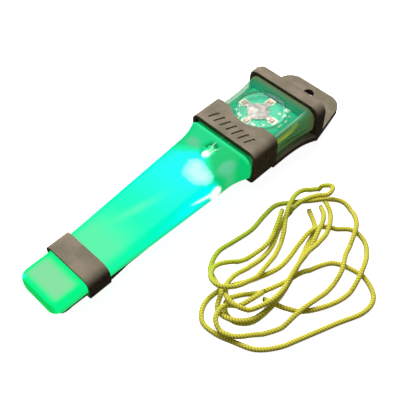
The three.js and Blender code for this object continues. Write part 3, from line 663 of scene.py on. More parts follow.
def loft(name, rows, corners, steps=6):
    """A closed moulding through rows of (station, half width, bottom, top)."""
    piece = section(name, *rows[0], corners, steps)
    with editing(piece):
        select_all()
        for (s0, w0, b0, t0), (s1, w1, b1, t1) in zip(rows, rows[1:]):
            stretch(s0, s1, w1 / w0, (t1 - b1) / (t0 - b0), b0)
            shift(up=b1 - b0)
        select_all()
        bpy.ops.mesh.normals_make_consistent(inside=False)
    return piece


# %% [markdown]
# ## The lens
# One clear green moulding makes the whole light guide: a flat tongue, a long body that swells towards
# the lamp, a shoulder, and a hollow head that holds the board and the cells. The wall of the head is
# made by insetting the mouth and extruding it back inwards, so that the board shows through a real shell.

# %% Lens profile
TONGUE_HALF, TONGUE_CORNER = 10, 4
BODY_START_HALF, BODY_END_HALF = 10.6, 12.8
MOUTH_HALF, MOUTH_FLARE = lens_high.x / MM, 1.8
HEAD_HALF = MOUTH_HALF - MOUTH_FLARE
SHOULDER_HALF = HEAD_HALF + 0.8
BAND_SEAT = 0.5
LENS_WALL = 1.5
LENS_BOTTOM = lens_low.z / MM
HEAD_TOP = lens_high.z / MM
TONGUE_THICKNESS = 6.3
TONGUE_TOP = LENS_BOTTOM + TONGUE_THICKNESS
CAVITY_LEAD = 7
CAVITY_START = SHOULDER[0] - CAVITY_LEAD


def share(value, low, high):
    return min(1, max(0, (value - low) / (high - low)))


def lens_half(station):
    if station <= LOWER_BAND[1]:
        return TONGUE_HALF + (BODY_START_HALF - TONGUE_HALF) * share(station, *LOWER_BAND)
    if station <= SHOULDER[0]:
        swell = share(station, LOWER_BAND[1], SHOULDER[0])
        return BODY_START_HALF + (BODY_END_HALF - BODY_START_HALF) * swell
    if station <= SHOULDER[1]:
        return BODY_END_HALF + (SHOULDER_HALF - BODY_END_HALF) * share(station, *SHOULDER) ** 2
    return HEAD_HALF + (MOUTH_HALF - HEAD_HALF) * share(station, FLARE_START, LENS_END) ** 2


def lens_top(station):
    seat = BAND_SEAT if SHOULDER[1] < station <= MIDDLE_BAND[1] else 0
    return TONGUE_TOP + (HEAD_TOP - TONGUE_TOP) * share(station, LOWER_BAND[1], SHOULDER[1]) - seat


def spread(low, high, count):
    return [low + (high - low) * index / count for index in range(count + 1)]


# %% Lens outside
TIP_ROUND = 1.6
LENS_CORNERS = (1.6, 1.7)


def lens_rows():
    rows = []
    for angle in spread(12, 90, 7):
        ease = 1 - sin(radians(angle))
        station = TONGUE_CORNER * (1 - cos(radians(angle)))
        lip = TIP_ROUND * (1 - sin(radians(min(90, angle * 2))))
        rows.append((station, TONGUE_HALF - TONGUE_CORNER * ease, LENS_BOTTOM + lip * 0.6, TONGUE_TOP - lip))
    stations = [*LOWER_BAND, *spread(LOWER_BAND[1], SHOULDER[0], 4)[1:], *spread(*SHOULDER, 6)[1:]]
    stations += [SHOULDER[1] + 0.35, MIDDLE_BAND[1], MIDDLE_BAND[1] + FIT]
    stations += spread(FLARE_START + 0.5, LENS_END, 6)
    return rows + [(station, lens_half(station), LENS_BOTTOM, lens_top(station)) for station in stations]


def hollow_head(piece):
    """Insets the mouth by the wall and extrudes it back to the start of the cavity."""
    stations = [*spread(LENS_END, FLARE_START, 4), MIDDLE_BAND[1] + FIT, MIDDLE_BAND[1], SHOULDER[1] + 0.35]
    stations += [*spread(SHOULDER[1], SHOULDER[0], 3), CAVITY_START]
    with editing(piece):
        pick(piece, "faces", lambda middle, face: middle.y > LENS_END - 0.1 and face.normal.y > 0.9)
        inset(LENS_WALL)
        floor = LENS_BOTTOM + LENS_WALL
        for start, end in zip(stations, stations[1:]):
            wide = (lens_half(end) - LENS_WALL) / (lens_half(start) - LENS_WALL)
            tall = (lens_top(end) - LENS_WALL - floor) / (lens_top(start) - LENS_WALL - floor)
            stretch(start, end, wide, tall, floor)


def model_lens():
    piece = loft("lens", lens_rows(), LENS_CORNERS)
    hollow_head(piece)
    heights = (HEAD_TOP - LENS_WALL - 1, HEAD_TOP + 1)
    boolean(piece, post("window", BUTTON_RADIUS + FIT, 0, BUTTON_STATION, heights, sides=96))
    return smooth(piece, 30)


lens = model_lens()
print("lens modelled,", len(lens.data.polygons), "faces")

# %% [markdown]
# The lamp is on, so the guide glows. What a lit guide shows is mostly the light that leaves it, which
# is a colour of its own: green over the body, cyan and then white close to the lamp. So the glow is an
# emission worked out from the place on the guide, over a dark green body that only adds gloss. Light
# from the studio is painted into the same emission: a mint-grey reflection of a soft light on the flat
# top of the tongue, a glint at its tip, a grey reflection on two lobes by the shoulder, a highlight on
# the shoulder's ledge and a shadow in the reveal between the ledge and the middle band. The head is
# clear and tinted, which is an alpha below one; it has a faint painted glow of its tint, a painted
# reflection on its side walls and a painted highlight along its right top edge.

# %% Glow of the guide
RAMP_LENGTH = 150
CHEVRON = 79.8
CHEVRON_SLOPE = 0.72
LOBES = ((10.6, 78.6, 2.9, 4.6), (-6.6, 79.4, 3.5, 2.9))
HOT_PATCH = (4.3, 69.8, 6.2, 5.0)
HOT_HORNS = ((1.0, 72.8, 2.8, 2.4, 0.4), (8.4, 70.6, 3.0, 2.6, 0.3))
HOT_SPOT = 71.2


def blob(across, along, x, station, wide, long):
    """A soft round patch on the guide, 1 in its middle."""
    return across.hill(x, wide) * along.hill(station, long)


def guide_glow(finish, across, along):
    """The colour of the lit guide: one ramp down its middle, a purer one at its rims, mixed by place."""
    half = along * 0.0345 + 9.9
    edge = across.size() / half
    # The mint-grey stops near the tongue are the same painted reflection of a soft light as on the tongue's
    # flat top.
    middle_stops = [
        (0.00, linear(84, 236, 158)), (0.02, linear(106, 231, 158)), (0.045, linear(130, 223, 160)),
        (0.08, linear(62, 230, 148)), (0.15, linear(92, 242, 168)), (0.20, linear(90, 243, 172)),
        (0.24, linear(50, 252, 180)), (0.28, linear(8, 253, 188)), (0.32, linear(1, 252, 202)),
        (0.36, linear(2, 253, 221)), (0.40, linear(2, 250, 236)), (0.43, linear(4, 249, 248)),
        (0.52, linear(6, 247, 242)),
    ]
    edge_stops = [
        (0.00, linear(16, 240, 148)), (0.045, linear(84, 234, 158)), (0.08, linear(34, 236, 146)),
        (0.15, linear(24, 250, 164)), (0.20, linear(14, 251, 172)), (0.28, linear(2, 252, 192)),
        (0.36, linear(4, 249, 216)), (0.43, linear(2, 250, 226)), (0.47, linear(8, 245, 190)),
        (0.51, linear(40, 220, 146)),
    ]
    share_along = along / RAMP_LENGTH
    middle = finish.ramp(share_along, middle_stops)
    rim = finish.ramp(share_along, edge_stops)
    return finish.mix(middle, rim, edge.rise(0.5, 0.98))


def tongue_glow(finish, across, along, facing_y, colour):
    """The tongue's flat middle is a duller mint-grey, a painted reflection of a soft light, inside a bright
    rim; it has a painted glint and a darker wall round its tip.
    """
    tongue_end = LOWER_BAND[0]
    top_reflection = across.size().rise(TONGUE_HALF - 1.2, TONGUE_HALF - 3.8)
    top_reflection = top_reflection * along.rise(1.4, 4.2) * along.rise(tongue_end - 0.8, tongue_end - 4)
    # Painted reflection: the mint-grey middle of the flat top stands for a soft light seen in it.
    tongue = finish.mix(linear(6, 246, 138), linear(132, 224, 160), top_reflection)
    tongue = finish.mix(tongue, linear(14, 208, 92), facing_y.rise(-0.55, -0.95))
    # A painted glint near the tip's left corner.
    glint = blob(across, along, -7.6, 1.2, 1.0, 0.8)
    tongue = finish.mix(tongue, linear(60, 255, 240), glint)
    return finish.mix(tongue, colour, along.rise(tongue_end - 0.4, tongue_end + 1.1))


def shoulder_glow(finish, across, along, colour):
    """The shoulder is plain green, and two lobes beside the lamp's beam get a painted grey reflection."""
    front = along + (across + 1).size() * CHEVRON_SLOPE
    colour = finish.mix(colour, linear(2, 244, 168), front.rise(CHEVRON - 2.8, CHEVRON - 0.4))
    calm = finish.mix(linear(20, 213, 133), linear(8, 198, 108), across.rise(-8, 12))
    colour = finish.mix(colour, calm, front.rise(CHEVRON - 0.8, CHEVRON + 2.6))
    # The lobes are a painted grey reflection where less glow leaves the guide.
    right, left = [blob(across, along, *lobe) for lobe in LOBES]
    return finish.mix(colour, linear(92, 200, 148), right.most(left).rise(0.2, 0.9))


def hot_glow(finish, across, along, up, colour):
    """White patches where the beam leaves the guide, and an overexposed spot of light on its right wall."""
    patch = blob(across, along, *HOT_PATCH)
    for *place, height in HOT_HORNS:
        patch = patch + blob(across, along, *place) * height
    patch = patch + (finish.noise(2.6, 2) - 0.5) * 0.45
    colour = finish.mix(colour, linear(160, 251, 252), patch.rise(0.36, 0.6) * 0.8)
    colour = finish.mix(colour, linear(224, 250, 250), patch.rise(0.6, 1.05) * 0.6)
    wall = across.rise(10.6, 12.0)
    spot = along.hill(HOT_SPOT, 3.0) * up.hill(13.8, 3.4)
    lean = (up - 16.6 + (along - 60) * 0.2) * (1.9 - (along - 58) * 0.11)
    tail = lean.hill(0, 1.0) * along.rise(57, 64) * along.rise(74, 71)
    streak = up.hill(17.0, 2.6) * along.rise(30, 60) * along.rise(74, 70)
    colour = finish.mix(colour, linear(0, 255, 250), streak * wall * 0.9)
    colour = finish.mix(colour, linear(150, 254, 252), tail.rise(0.1, 0.6) * wall)
    return finish.mix(colour, linear(250, 252, 250), spot.most(tail * 0.6).rise(0.28, 0.6) * wall)


def lens_finish():
    finish = Finish("lens_green")
    across, along, up = finish.place()
    facing_x, facing_y, facing_z = finish.facing()
    cloud = finish.noise(9, 2)
    soft_along = along + (cloud - 0.5) * 4
    colour = guide_glow(finish, across, soft_along)
    colour = tongue_glow(finish, across, along, facing_y, colour)

    streak = across.hill(11.2, 1.3) * along.rise(50, 62) * along.rise(74, 68)
    colour = finish.mix(colour, linear(0, 252, 248), streak)
    ghost = (across + 1.5 - (along - 40) * 0.25).hill(0, 1.6) * along.hill(44, 9)
    colour = finish.mix(colour, linear(110, 250, 182), ghost * 0.5)
    colour = shoulder_glow(finish, across, soft_along, colour)

    wall = facing_x.size().rise(0.75, 0.98) * up.rise(14.0, 10.5)
    low_wall = finish.mix(linear(40, 206, 96), linear(0, 190, 84), along.rise(40, 74))
    colour = finish.mix(colour, low_wall, wall * 0.8)
    colour = hot_glow(finish, across, along, up, colour)
    shoulder_end = SHOULDER[1]
    # A painted shadow in the reveal between the shoulder's ledge and the middle band, then a painted
    # highlight along the ledge's edge.
    colour = finish.mix(colour, linear(0, 136, 52), along.rise(shoulder_end - 0.15, shoulder_end + 0.1))
    ledge_highlight = along.hill(shoulder_end - 0.6, 0.6) * facing_z.rise(0.2, 0.8)
    colour = finish.mix(colour, linear(40, 236, 156), ledge_highlight * 0.8)

    head = along.rise(shoulder_end + 0.6, shoulder_end + 2.1)
    # Painted reflection on the head's side walls: a greyer tint and less clarity.
    side_reflection = facing_x.size().rise(0.4, 0.9)
    tint = finish.mix(linear(8, 168, 116), linear(96, 158, 98), side_reflection)
    capped = along.rise(LENS_END - 3.7, LENS_END + 0.2)
    tint = finish.mix(tint, linear(122, 112, 80), capped * 0.75)
    lamp_view = blob(across, along, LAMP.x + 1, LAMP.y - 0.4, 3.2, 4.6) * up.rise(15.4, 16.6)
    wire_view = up.hill(WIRE.z, 1.9) * along.hill(WIRE.y, 7) * across.rise(11, 13)
    # A painted highlight along the head's right top edge, lighter and less clear.
    top_edge_highlight = across.hill(HEAD_HALF - LENS_WALL, 0.35) * facing_z.rise(0.4, 0.9)
    top_edge_highlight = top_edge_highlight * along.rise(MIDDLE_BAND[1] + 0.3, MIDDLE_BAND[1] + 3.3)
    top_edge_highlight = top_edge_highlight * along.rise(LENS_END - 0.2, LENS_END - 5.2)
    tint = finish.mix(tint, linear(196, 234, 208), top_edge_highlight * 0.7)
    head_alpha = 0.34 + side_reflection * 0.36 + capped * 0.3 + top_edge_highlight * 0.3 - wire_view * 0.5
    lit = 1 - head
    finish.set({
        "Base Color": finish.mix(linear(0, 44, 26), tint, head),
        # The head's emission is a faint painted glow of its tint.
        "Emission Color": finish.mix(colour, finish.mix(linear(0, 0, 0), tint, 0.3), head),
        "Emission Strength": 1.0,
        "Roughness": 0.16 + lit * 0.2 + cloud * 0.05,
        "Alpha": lit * (1 - lamp_view.rise(0.2, 0.6) * 0.85) + head * head_alpha,
        "IOR": 1.46,
        "Specular IOR Level": 0.05,
    })
    finish.bump(finish.noise(3.5, 2), strength=0.12, distance=0.05)
    return finish.material


hand_over(lens, lens_finish(), "light", "lens", "lens_body")

# %% [markdown]
# ## The rubber boot
# A dark-earth rubber moulding holds the lens: a spine under it, a narrow band near the tongue, a wide
# band at the shoulder that is scooped out round the button, and a thin rim that follows the head. Each
# band is a loop of rubber, so it starts as a rounded section that is inset by its wall, opened, and
# extruded along the light. The parts are then joined, and all their edges get one small moulded radius.

# %% Bands, spine and rim
BOOT_BOTTOM = boot_low.z / MM
SPINE_TOP = BOOT_BOTTOM + 1.7
BAND_CORNERS = (2.2, 3.4)
LOWER_WALL, MIDDLE_WALL = 1.1, 1.2
LOWER_HALF = BODY_START_HALF + 0.8
MIDDLE_HALF = HEAD_HALF + 1.5
LOWER_TOP = TONGUE_TOP + 1.6
MIDDLE_TOP = boot_high.z / MM
RIM_HEIGHT, RIM_WIDTH, RIM_FLARE = 1.1, 1.5, 1.0
SPINE_HALF = 8.5
SCOOP_RADIUS = BUTTON_RADIUS + FIT + 1.9


def band(name, stations, half_width, top, wall):
    """A loop of rubber round the lens, open at both ends."""
    piece = section(name, stations[0], half_width, BOOT_BOTTOM, top, BAND_CORNERS, steps=8)
    with editing(piece):
        select_all()
        inset(wall)
        bpy.ops.mesh.delete(type="FACE")
        select_all()
        extrude(along=stations[1] - stations[0])
        select_all()
        bpy.ops.mesh.normals_make_consistent(inside=False)
    return piece


def spine():
    along = (LOWER_BAND[0] + 0.5, LENS_END - FIT)
    piece = block("spine", (-SPINE_HALF, SPINE_HALF), along, (BOOT_BOTTOM, SPINE_TOP))
    with editing(piece, "EDGE"):
        def low_side(middle, _):
            return abs(middle.x) > SPINE_HALF - 0.1 and middle.z < BOOT_BOTTOM + 0.1
        pick(piece, "edges", low_side)
        bpy.ops.mesh.bevel(offset=0.5 * MM, segments=2)
    return piece


def head_rim():
    """A flat strip under the head whose sides swell out towards the cap."""
    rows = []
    for station in [MIDDLE_BAND[1] - 1, *spread(FLARE_START, LENS_END, 8)]:
        flare = RIM_FLARE * share(station, LENS_END - 8, LENS_END) ** 2
        rows.append((station, lens_half(station) + RIM_WIDTH + flare, BOOT_BOTTOM, SPINE_TOP + RIM_HEIGHT))
    return loft("head_rim", rows, (0.5, 0.9), steps=3)


BAR_COUNT = 7
BAR_PITCH = 3.1
BAR_HALF = (0.55, 2.3)
BAR_DEPTH = 0.45
BAR_SLANT = 22


def engraving(index):
    """One slanted bar of a generic grip mark, cut into the top of the middle band."""
    x = (index - BAR_COUNT // 2) * BAR_PITCH
    station = MIDDLE_BAND[0] + 4.6 - 0.1 * index
    across = (x - BAR_HALF[0], x + BAR_HALF[0])
    along = (station - BAR_HALF[1], station + BAR_HALF[1])
    bar = block("bar", across, along, (MIDDLE_TOP - BAR_DEPTH, MIDDLE_TOP + 1))
    with editing(bar):
        select_all()
        pivot = (x * MM, at(station), MIDDLE_TOP * MM)
        bpy.ops.transform.rotate(value=radians(BAR_SLANT), orient_axis="Z", center_override=pivot)
    return bar


def model_boot():
    lower = band("boot", LOWER_BAND, LOWER_HALF, LOWER_TOP, LOWER_WALL)
    middle = band("middle_band", MIDDLE_BAND, MIDDLE_HALF, MIDDLE_TOP, MIDDLE_WALL)
    with editing(middle, "VERT"):
        def under_roof(place, _):
            return abs(place.z - MIDDLE_TOP + MIDDLE_WALL) < 0.05 and abs(place.x) < HEAD_HALF
        pick(middle, "verts", under_roof)
        shift(up=-0.9)
    heights = (SPINE_TOP + RIM_HEIGHT, MIDDLE_TOP + 1)
    boolean(middle, post("scoop", SCOOP_RADIUS, 0, BUTTON_STATION, heights, sides=128))
    for index in range(BAR_COUNT):
        boolean(middle, engraving(index))
    for piece in (middle, spine(), head_rim()):
        boolean(lower, piece, "UNION")
    return soften(lower, 0.38, segments=3, degrees=38)


boot = model_boot()
print("boot modelled,", len(boot.data.polygons), "faces")

# %% [markdown]
# The rubber is matt and slightly mottled. Light catches its top faces, and where it turns to the side and
# under, its colour is a painted shade, a dark umber. Three sizes of noise give the grain of the mould,
# its mottling and the faint cloudiness of handled rubber.

# %% Dark-earth rubber
def rubber_finish(name="boot_rubber"):
    finish = Finish(name)
    _, _, facing_z = finish.facing()
    cloud = finish.noise(6, 3)
    mottle = finish.noise(1.3, 3)
    grain = finish.noise(0.22, 3)
    colour = finish.mix(linear(132, 121, 101), linear(152, 138, 118), cloud.rise(0.35, 0.65))
    colour = finish.mix(colour, linear(150, 118, 104), mottle.rise(0.58, 0.78) * 0.35)
    colour = finish.mix(colour, linear(98, 86, 70), grain.rise(0.6, 0.85) * 0.4)
    painted_side_shade = finish.mix(linear(66, 54, 41), linear(94, 76, 58), mottle.rise(0.35, 0.7))
    finish.set({
        # The sides and the underside get a painted shade, a dark umber.
        "Base Color": finish.mix(painted_side_shade, colour, facing_z.rise(0.15, 0.8)),
        "Roughness": 0.62 + grain * 0.22,
        "Specular IOR Level": 0.3,
    })
    finish.bump(grain + mottle * 0.6, strength=0.35, distance=0.12)
    return finish.material


rubber = rubber_finish()
hand_over(boot, rubber, "light", "boot_rubber", "rubber_boot")

# %% [markdown]
# ## The end cap
# The cap is a thick hood that meets the mouth of the head and runs out behind into a flat tab with a
# lanyard hole. The hood is a short section with a turned-in back edge, and the tab is a block whose far
# corners are rounded by a wide bevel of its upright edges.

# %% Hood and tab
HOOD_START = LENS_END + FIT
HOOD_END = HOOD_START + 6.2
LIGHT_END = station_of(cap_high.y)
CAP_BOTTOM = cap_low.z / MM
TAB_TOP = CAP_BOTTOM + 2.8
HOOD_TOP = cap_high.z / MM
TAB_HALF = cap_high.x / MM
HOOD_HALF = TAB_HALF - 0.3
TAB_END_HALF = 13.3
TAB_CORNER = 5.2
LANYARD_STATION = LIGHT_END - 5.2
LANYARD_RADIUS = 2.3


def model_hood():
    rows = [
        (HOOD_START, HOOD_HALF - 0.3, CAP_BOTTOM, HOOD_TOP - 0.3),
        (HOOD_START + 0.7, HOOD_HALF, CAP_BOTTOM, HOOD_TOP),
        (HOOD_END - 2.6, HOOD_HALF, CAP_BOTTOM, HOOD_TOP),
        (HOOD_END - 1.2, HOOD_HALF - 0.4, CAP_BOTTOM, HOOD_TOP - 0.5),
        (HOOD_END, HOOD_HALF - 1.6, CAP_BOTTOM, HOOD_TOP - 1.8),
    ]
    piece = loft("cap", rows, (1.0, 4.2), steps=8)
    with editing(piece):
        pick(piece, "faces", lambda middle, face: middle.y < HOOD_START + 0.1)
        inset(1.5)
        extrude(along=0.8)
    return piece


def model_tab():
    piece = block("tab", (-TAB_HALF, TAB_HALF), (HOOD_START + 1, LIGHT_END), (CAP_BOTTOM, TAB_TOP))
    with editing(piece):
        pick(piece, "faces", lambda middle, face: middle.y > LIGHT_END - 0.1)
        resize((TAB_END_HALF / TAB_HALF, 1, 1), 0, LIGHT_END, 0)
    with editing(piece, "EDGE"):
        pick(piece, "edges", lambda middle, edge: middle.y > LIGHT_END - 0.1 and abs(middle.x) > 12)
        bpy.ops.mesh.bevel(offset=TAB_CORNER * MM, segments=10)
    heights = (CAP_BOTTOM - 1, TAB_TOP + 1)
    return boolean(piece, post("lanyard_hole", LANYARD_RADIUS, 0, LANYARD_STATION, heights, sides=32))


def model_cap():
    piece = model_hood()
    boolean(piece, model_tab(), "UNION")
    return soften(piece, 0.55, segments=3, degrees=38)


cap = model_cap()
hand_over(cap, rubber_finish("cap_rubber"), "cap", "boot_rubber", "end_cap")

# %% [markdown]
# ## What shows in the head
# Through the window lie a green board, a four-legged snap dome on cream pads, a few small parts, and a
# yellow battery wire along one wall. The dome is the switch: the clear pad over it presses it flat. It
# starts as a disc whose four sides are drawn out as legs, is raised ring by ring, and gets its sheet
# thickness last.

# %% Snap dome
DOME_CENTRE = middle_of_node("snap_dome")
DOME_CENTRE.z = mm_box("snap_dome")[2][0]
DOME_REACH = 8.0
DOME_DISC = 4.4
DOME_STEPS = ((0.8, 0.22), (1.0, 0.18), (1.2, 0.1))
DOME_SHEET = 0.2
LEG_STEPS = (0.25, 0.75)
DOME_SIDES = 32


def model_dome():
    middle = (DOME_CENTRE.x * MM, at(DOME_CENTRE.y), DOME_CENTRE.z * MM)
    piece = add(
        "circle", "dome", vertices=DOME_SIDES, radius=DOME_DISC * MM, fill_type="NGON",
        location=middle, rotation=(0, 0, pi / DOME_SIDES),
    )
    settle(piece)
    for direction in (Vector((1, 0)), Vector((0, 1)), Vector((-1, 0)), Vector((0, -1))):
        draw_leg(piece, direction)
    with editing(piece):
        for ring, rise in DOME_STEPS:
            pick(piece, "faces", lambda middle, face: len(face.verts) > 8)
            inset(ring)
            shift(up=rise)
        pick(piece, "faces", lambda middle, face: len(face.verts) > 8)
        bpy.ops.mesh.poke()
    modify(piece, "SUBSURF", levels=2, render_levels=2)
    modify(piece, "SOLIDIFY", thickness=DOME_SHEET * MM, offset=1)
    return smooth(piece, 50)


def draw_leg(piece, direction):
    """Draws one side of the disc out into a straight leg, whose root is squared off."""
    with editing(piece, "EDGE"):
        def on_side(middle, edge):
            spoke = Vector((middle.x - DOME_CENTRE.x, middle.y - DOME_CENTRE.y))
            near = abs(spoke.angle_signed(direction)) < radians(21) and spoke.length < DOME_DISC
            return edge.is_boundary and near
        pick(piece, "edges", on_side)
        root, rest = [(DOME_REACH - DOME_DISC) * step for step in LEG_STEPS]
        extrude(direction.x * root, direction.y * root)
        pivot = Vector((DOME_CENTRE.x, DOME_CENTRE.y)) + direction * (DOME_DISC + root)
        flat = (0.02 if direction.x else 1, 0.02 if direction.y else 1, 1)
        resize(flat, pivot.x, pivot.y, 0)
        extrude(direction.x * rest, direction.y * rest)


def dome_metal():
    finish = Finish("dome_metal")
    cloud = finish.noise(2.0, 3)
    grain = finish.noise(0.35, 2, stretch=(1, 5, 1))
    colour = finish.mix(linear(168, 156, 150), linear(214, 204, 196), cloud.rise(0.38, 0.62))
    finish.set({
        "Base Color": colour,
        "Metallic": 0.5,
        "Roughness": 0.46 + grain * 0.18,
        # A faint painted glow of the dome's own colour, for the light inside the head.
        "Emission Color": colour,
        "Emission Strength": 0.24,
    })
    finish.bump(cloud + grain * 0.3, strength=0.5, distance=0.18)
    return finish.material


dome = model_dome()
hand_over(dome, dome_metal(), "light", "dome_metal", "snap_dome")

# %% [markdown]
# The board is a green laminate with a copper pour under its mask. Cell noise with straight edges gives
# the gaps in the pour. The board has a faint painted glow, brighter on its top faces, for the lamp's light
# inside the head.

# %% Circuit board
def model_board():
    across, along, up = mm_box("circuit_board")
    piece = block("board", across, along, up)
    with editing(piece, "EDGE"):
        pick(piece, "edges", lambda middle, edge: abs(middle.z - sum(up) / 2) < 0.1)
        bpy.ops.mesh.bevel(offset=1.2 * MM, segments=5)
    margin = 2
    for x in (across[0] + margin, across[1] - margin):
        boolean(piece, post("board_hole", 0.8, x, along[0] + margin, (up[0] - 1, up[1] + 1), sides=24))
    return soften(piece, 0.12, segments=1)


def board_mask():
    finish = Finish("board_mask")
    _, _, facing_z = finish.facing()
    where = finish.node("ShaderNodeTexCoord", output=3)
    cells = finish.node(
        "ShaderNodeTexVoronoi", {"feature": "DISTANCE_TO_EDGE"}, {"Vector": where, "Scale": 1 / (3.1 * MM)},
    )
    gap = cells.rise(0.035, 0.02)
    cloud = finish.noise(7, 2)
    mask = finish.mix(linear(0, 150, 106), linear(24, 186, 140), cloud.rise(0.3, 0.7))
    mask = finish.mix(mask, linear(0, 116, 80), gap * 0.55)
    finish.set({
        "Base Color": mask,
        # The emission is a painted glow for the lamp's light inside the head, brighter on the top faces.
        "Emission Color": finish.mix(linear(0, 150, 104), linear(10, 186, 134), facing_z.rise(0.2, 0.8)),
        "Emission Strength": 0.55,
        "Roughness": 0.3 + cloud * 0.1,
    })
    finish.bump(gap, strength=0.2, distance=0.05)
    return finish.material


hand_over(model_board(), board_mask(), "light", "board", "circuit_board")

# %% [markdown]
# Under each leg of the dome is a cream solder pad with a small gold patch, modelled once as a cube with
# an inset and sunken top, then copied to the four legs. Round solder dots stand round the dome.

# %% Solder pads and dots
BOARD_TOP = mm_box("circuit_board")[2][1]
DOT_RINGS = (7.6, 8.6)
DOT_STEP = 16
LOOSE_DOTS = ((8.9, 6.4), (5.2, 4.9), (9.7, 3.4))


def slab(name, width, length, up):
    """A box about the world's Z axis, ready to be copied to its places."""
    piece = add("cube", name, size=1, location=(0, 0, (up[0] + up[1]) / 2 * MM))
    piece.scale = (width * MM, length * MM, (up[1] - up[0]) * MM)
    return settle(piece)


def copies(piece, places, name):
    """Copies a piece to places given as (x, station) in mm, each with its own mesh, and joins them."""
    made = []
    for x, station in places:
        copy = piece.copy()
        copy.data = piece.data.copy()
        bpy.context.scene.collection.objects.link(copy)
        copy.location = (x * MM, at(station), 0)
        made.append(settle(copy))
    bpy.data.objects.remove(piece)
    return join(made, name)


def leg_places(reach):
    steps = ((reach, 0), (0, reach), (-reach, 0), (0, -reach))
    return [(DOME_CENTRE.x + x, DOME_CENTRE.y + y) for x, y in steps]


def model_leg_pads():
    pad = slab("pad", 3.4, 3.4, (BOARD_TOP + 0.02, BOARD_TOP + 0.24))
    with editing(pad):
        pick_top(pad)
        inset(0.6)
        shift(up=-0.05)
    return copies(pad, leg_places(DOME_REACH - 0.6), "leg_pads")


def model_leg_tips():
    """The gold patch that each leg is soldered to, over the end of the leg."""
    tip = slab("tip", 1.7, 1.7, (DOME_CENTRE.z + 0.22, DOME_CENTRE.z + 0.4))
    with editing(tip):
        pick_top(tip)
        inset(0.35)
        shift(up=-0.06)
    return copies(tip, leg_places(DOME_REACH - 0.95), "leg_tips")


def model_solder_dots():
    middle = (0, 0, (BOARD_TOP + 0.13) * MM)
    dot = add("cylinder", "dot", vertices=20, radius=0.55 * MM, depth=0.24 * MM, location=middle)
    settle(dot)
    with editing(dot):
        pick_top(dot)
        inset(0.2)
        shift(up=0.1)
    places = []
    for index in range(9):
        angle = radians(200 + index * DOT_STEP)
        radius = DOT_RINGS[index % 2]
        places.append((DOME_CENTRE.x + radius * cos(angle), DOME_CENTRE.y + radius * sin(angle)))
    places += [(x, BUTTON_STATION + along) for x, along in LOOSE_DOTS]
    return copies(dot, places, "solder_dots")


def solder(name, low, high, metallic=0.5, glow=0.3):
    finish = Finish(name)
    cloud = finish.noise(0.8, 2)
    colour = finish.mix(low, high, cloud.rise(0.3, 0.7))
    finish.set({
        "Base Color": colour,
        # The emission is a painted glow of the metal's own colour, for the light inside the head.
        "Emission Color": colour,
        "Emission Strength": glow,
        "Metallic": metallic,
        "Roughness": 0.34 + cloud * 0.2,
    })
    finish.bump(cloud, strength=0.3, distance=0.08)
    return finish.material


tin = solder("tinned_pad", linear(206, 198, 176), linear(236, 232, 214))
gold = solder("gold_patch", linear(176, 140, 116), linear(206, 172, 140))
hand_over(model_leg_pads(), tin, "light", "contact_metal")
hand_over(model_leg_tips(), gold, "light", "contact_metal")
hand_over(model_solder_dots(), tin, "light", "contact_metal")

# %% [markdown]
# The small parts on the board are ceramic blocks with tinned ends, and one black chip. Each is a cube
# whose two ends are extruded a little way as the metal caps; the whole part has one material.

# %% Small parts
def chip_part(name, across, along, up):
    piece = block(name, across, along, up)
    long_side = 0 if across[1] - across[0] > along[1] - along[0] else 1
    with editing(piece):
        for way in (-1, 1):
            pick(piece, "faces", lambda middle, face: face.normal[long_side] * way > 0.9)
            inset(0.02)
            extrude(*[way * 0.12 if axis == long_side else 0 for axis in range(3)])
    return soften(piece, 0.06, segments=2)


def ceramic():
    finish = Finish("pale_ceramic")
    speckle = finish.noise(0.25, 2)
    finish.set({
        "Base Color": finish.mix(linear(226, 222, 208), linear(250, 248, 240), speckle.rise(0.3, 0.7)),
        # The emission is a painted glow, for the light inside the head.
        "Emission Color": linear(236, 234, 222),
        "Emission Strength": 0.4,
        "Roughness": 0.42 + speckle * 0.2,
    })
    return finish.material


def chip_package():
    finish = Finish("chip_package")
    speckle = finish.noise(0.2, 2)
    finish.set({
        "Base Color": finish.mix(linear(20, 20, 20), linear(46, 46, 44), speckle.rise(0.3, 0.7)),
        "Roughness": 0.5 + speckle * 0.2,
    })
    finish.bump(speckle, strength=0.3, distance=0.05)
    return finish.material


pale_ceramic = ceramic()
for node in ("resistor_1", "resistor_2", "resistor_3", "capacitor_1", "capacitor_2"):
    hand_over(chip_part(node + "_body", *mm_box(node)), pale_ceramic, "light", "chip_ceramic", node)
controller = chip_part("controller_body", *mm_box("controller_chip"))
hand_over(controller, chip_package(), "light", "chip_black", "controller_chip")

# %% [markdown]
# ## The button
# The button is a clear soft disc that fills the window of the head. Its rim has a fine groove, along
# which a painted highlight rings the pad, and its face is a little dished for a fingertip.

# %% Button pad
def model_button():
    piece = post("button", BUTTON_RADIUS, 0, BUTTON_STATION, PAD_UP, sides=96)
    with editing(piece):
        pick_top(piece)
        for ring, drop in ((0.5, 0), (0.35, -0.3), (0.35, 0), (0.35, 0.28), (4.0, -0.12)):
            inset(ring)
            shift(up=drop)
        bpy.ops.mesh.poke()
    return soften(piece, 0.12, segments=2, degrees=40)


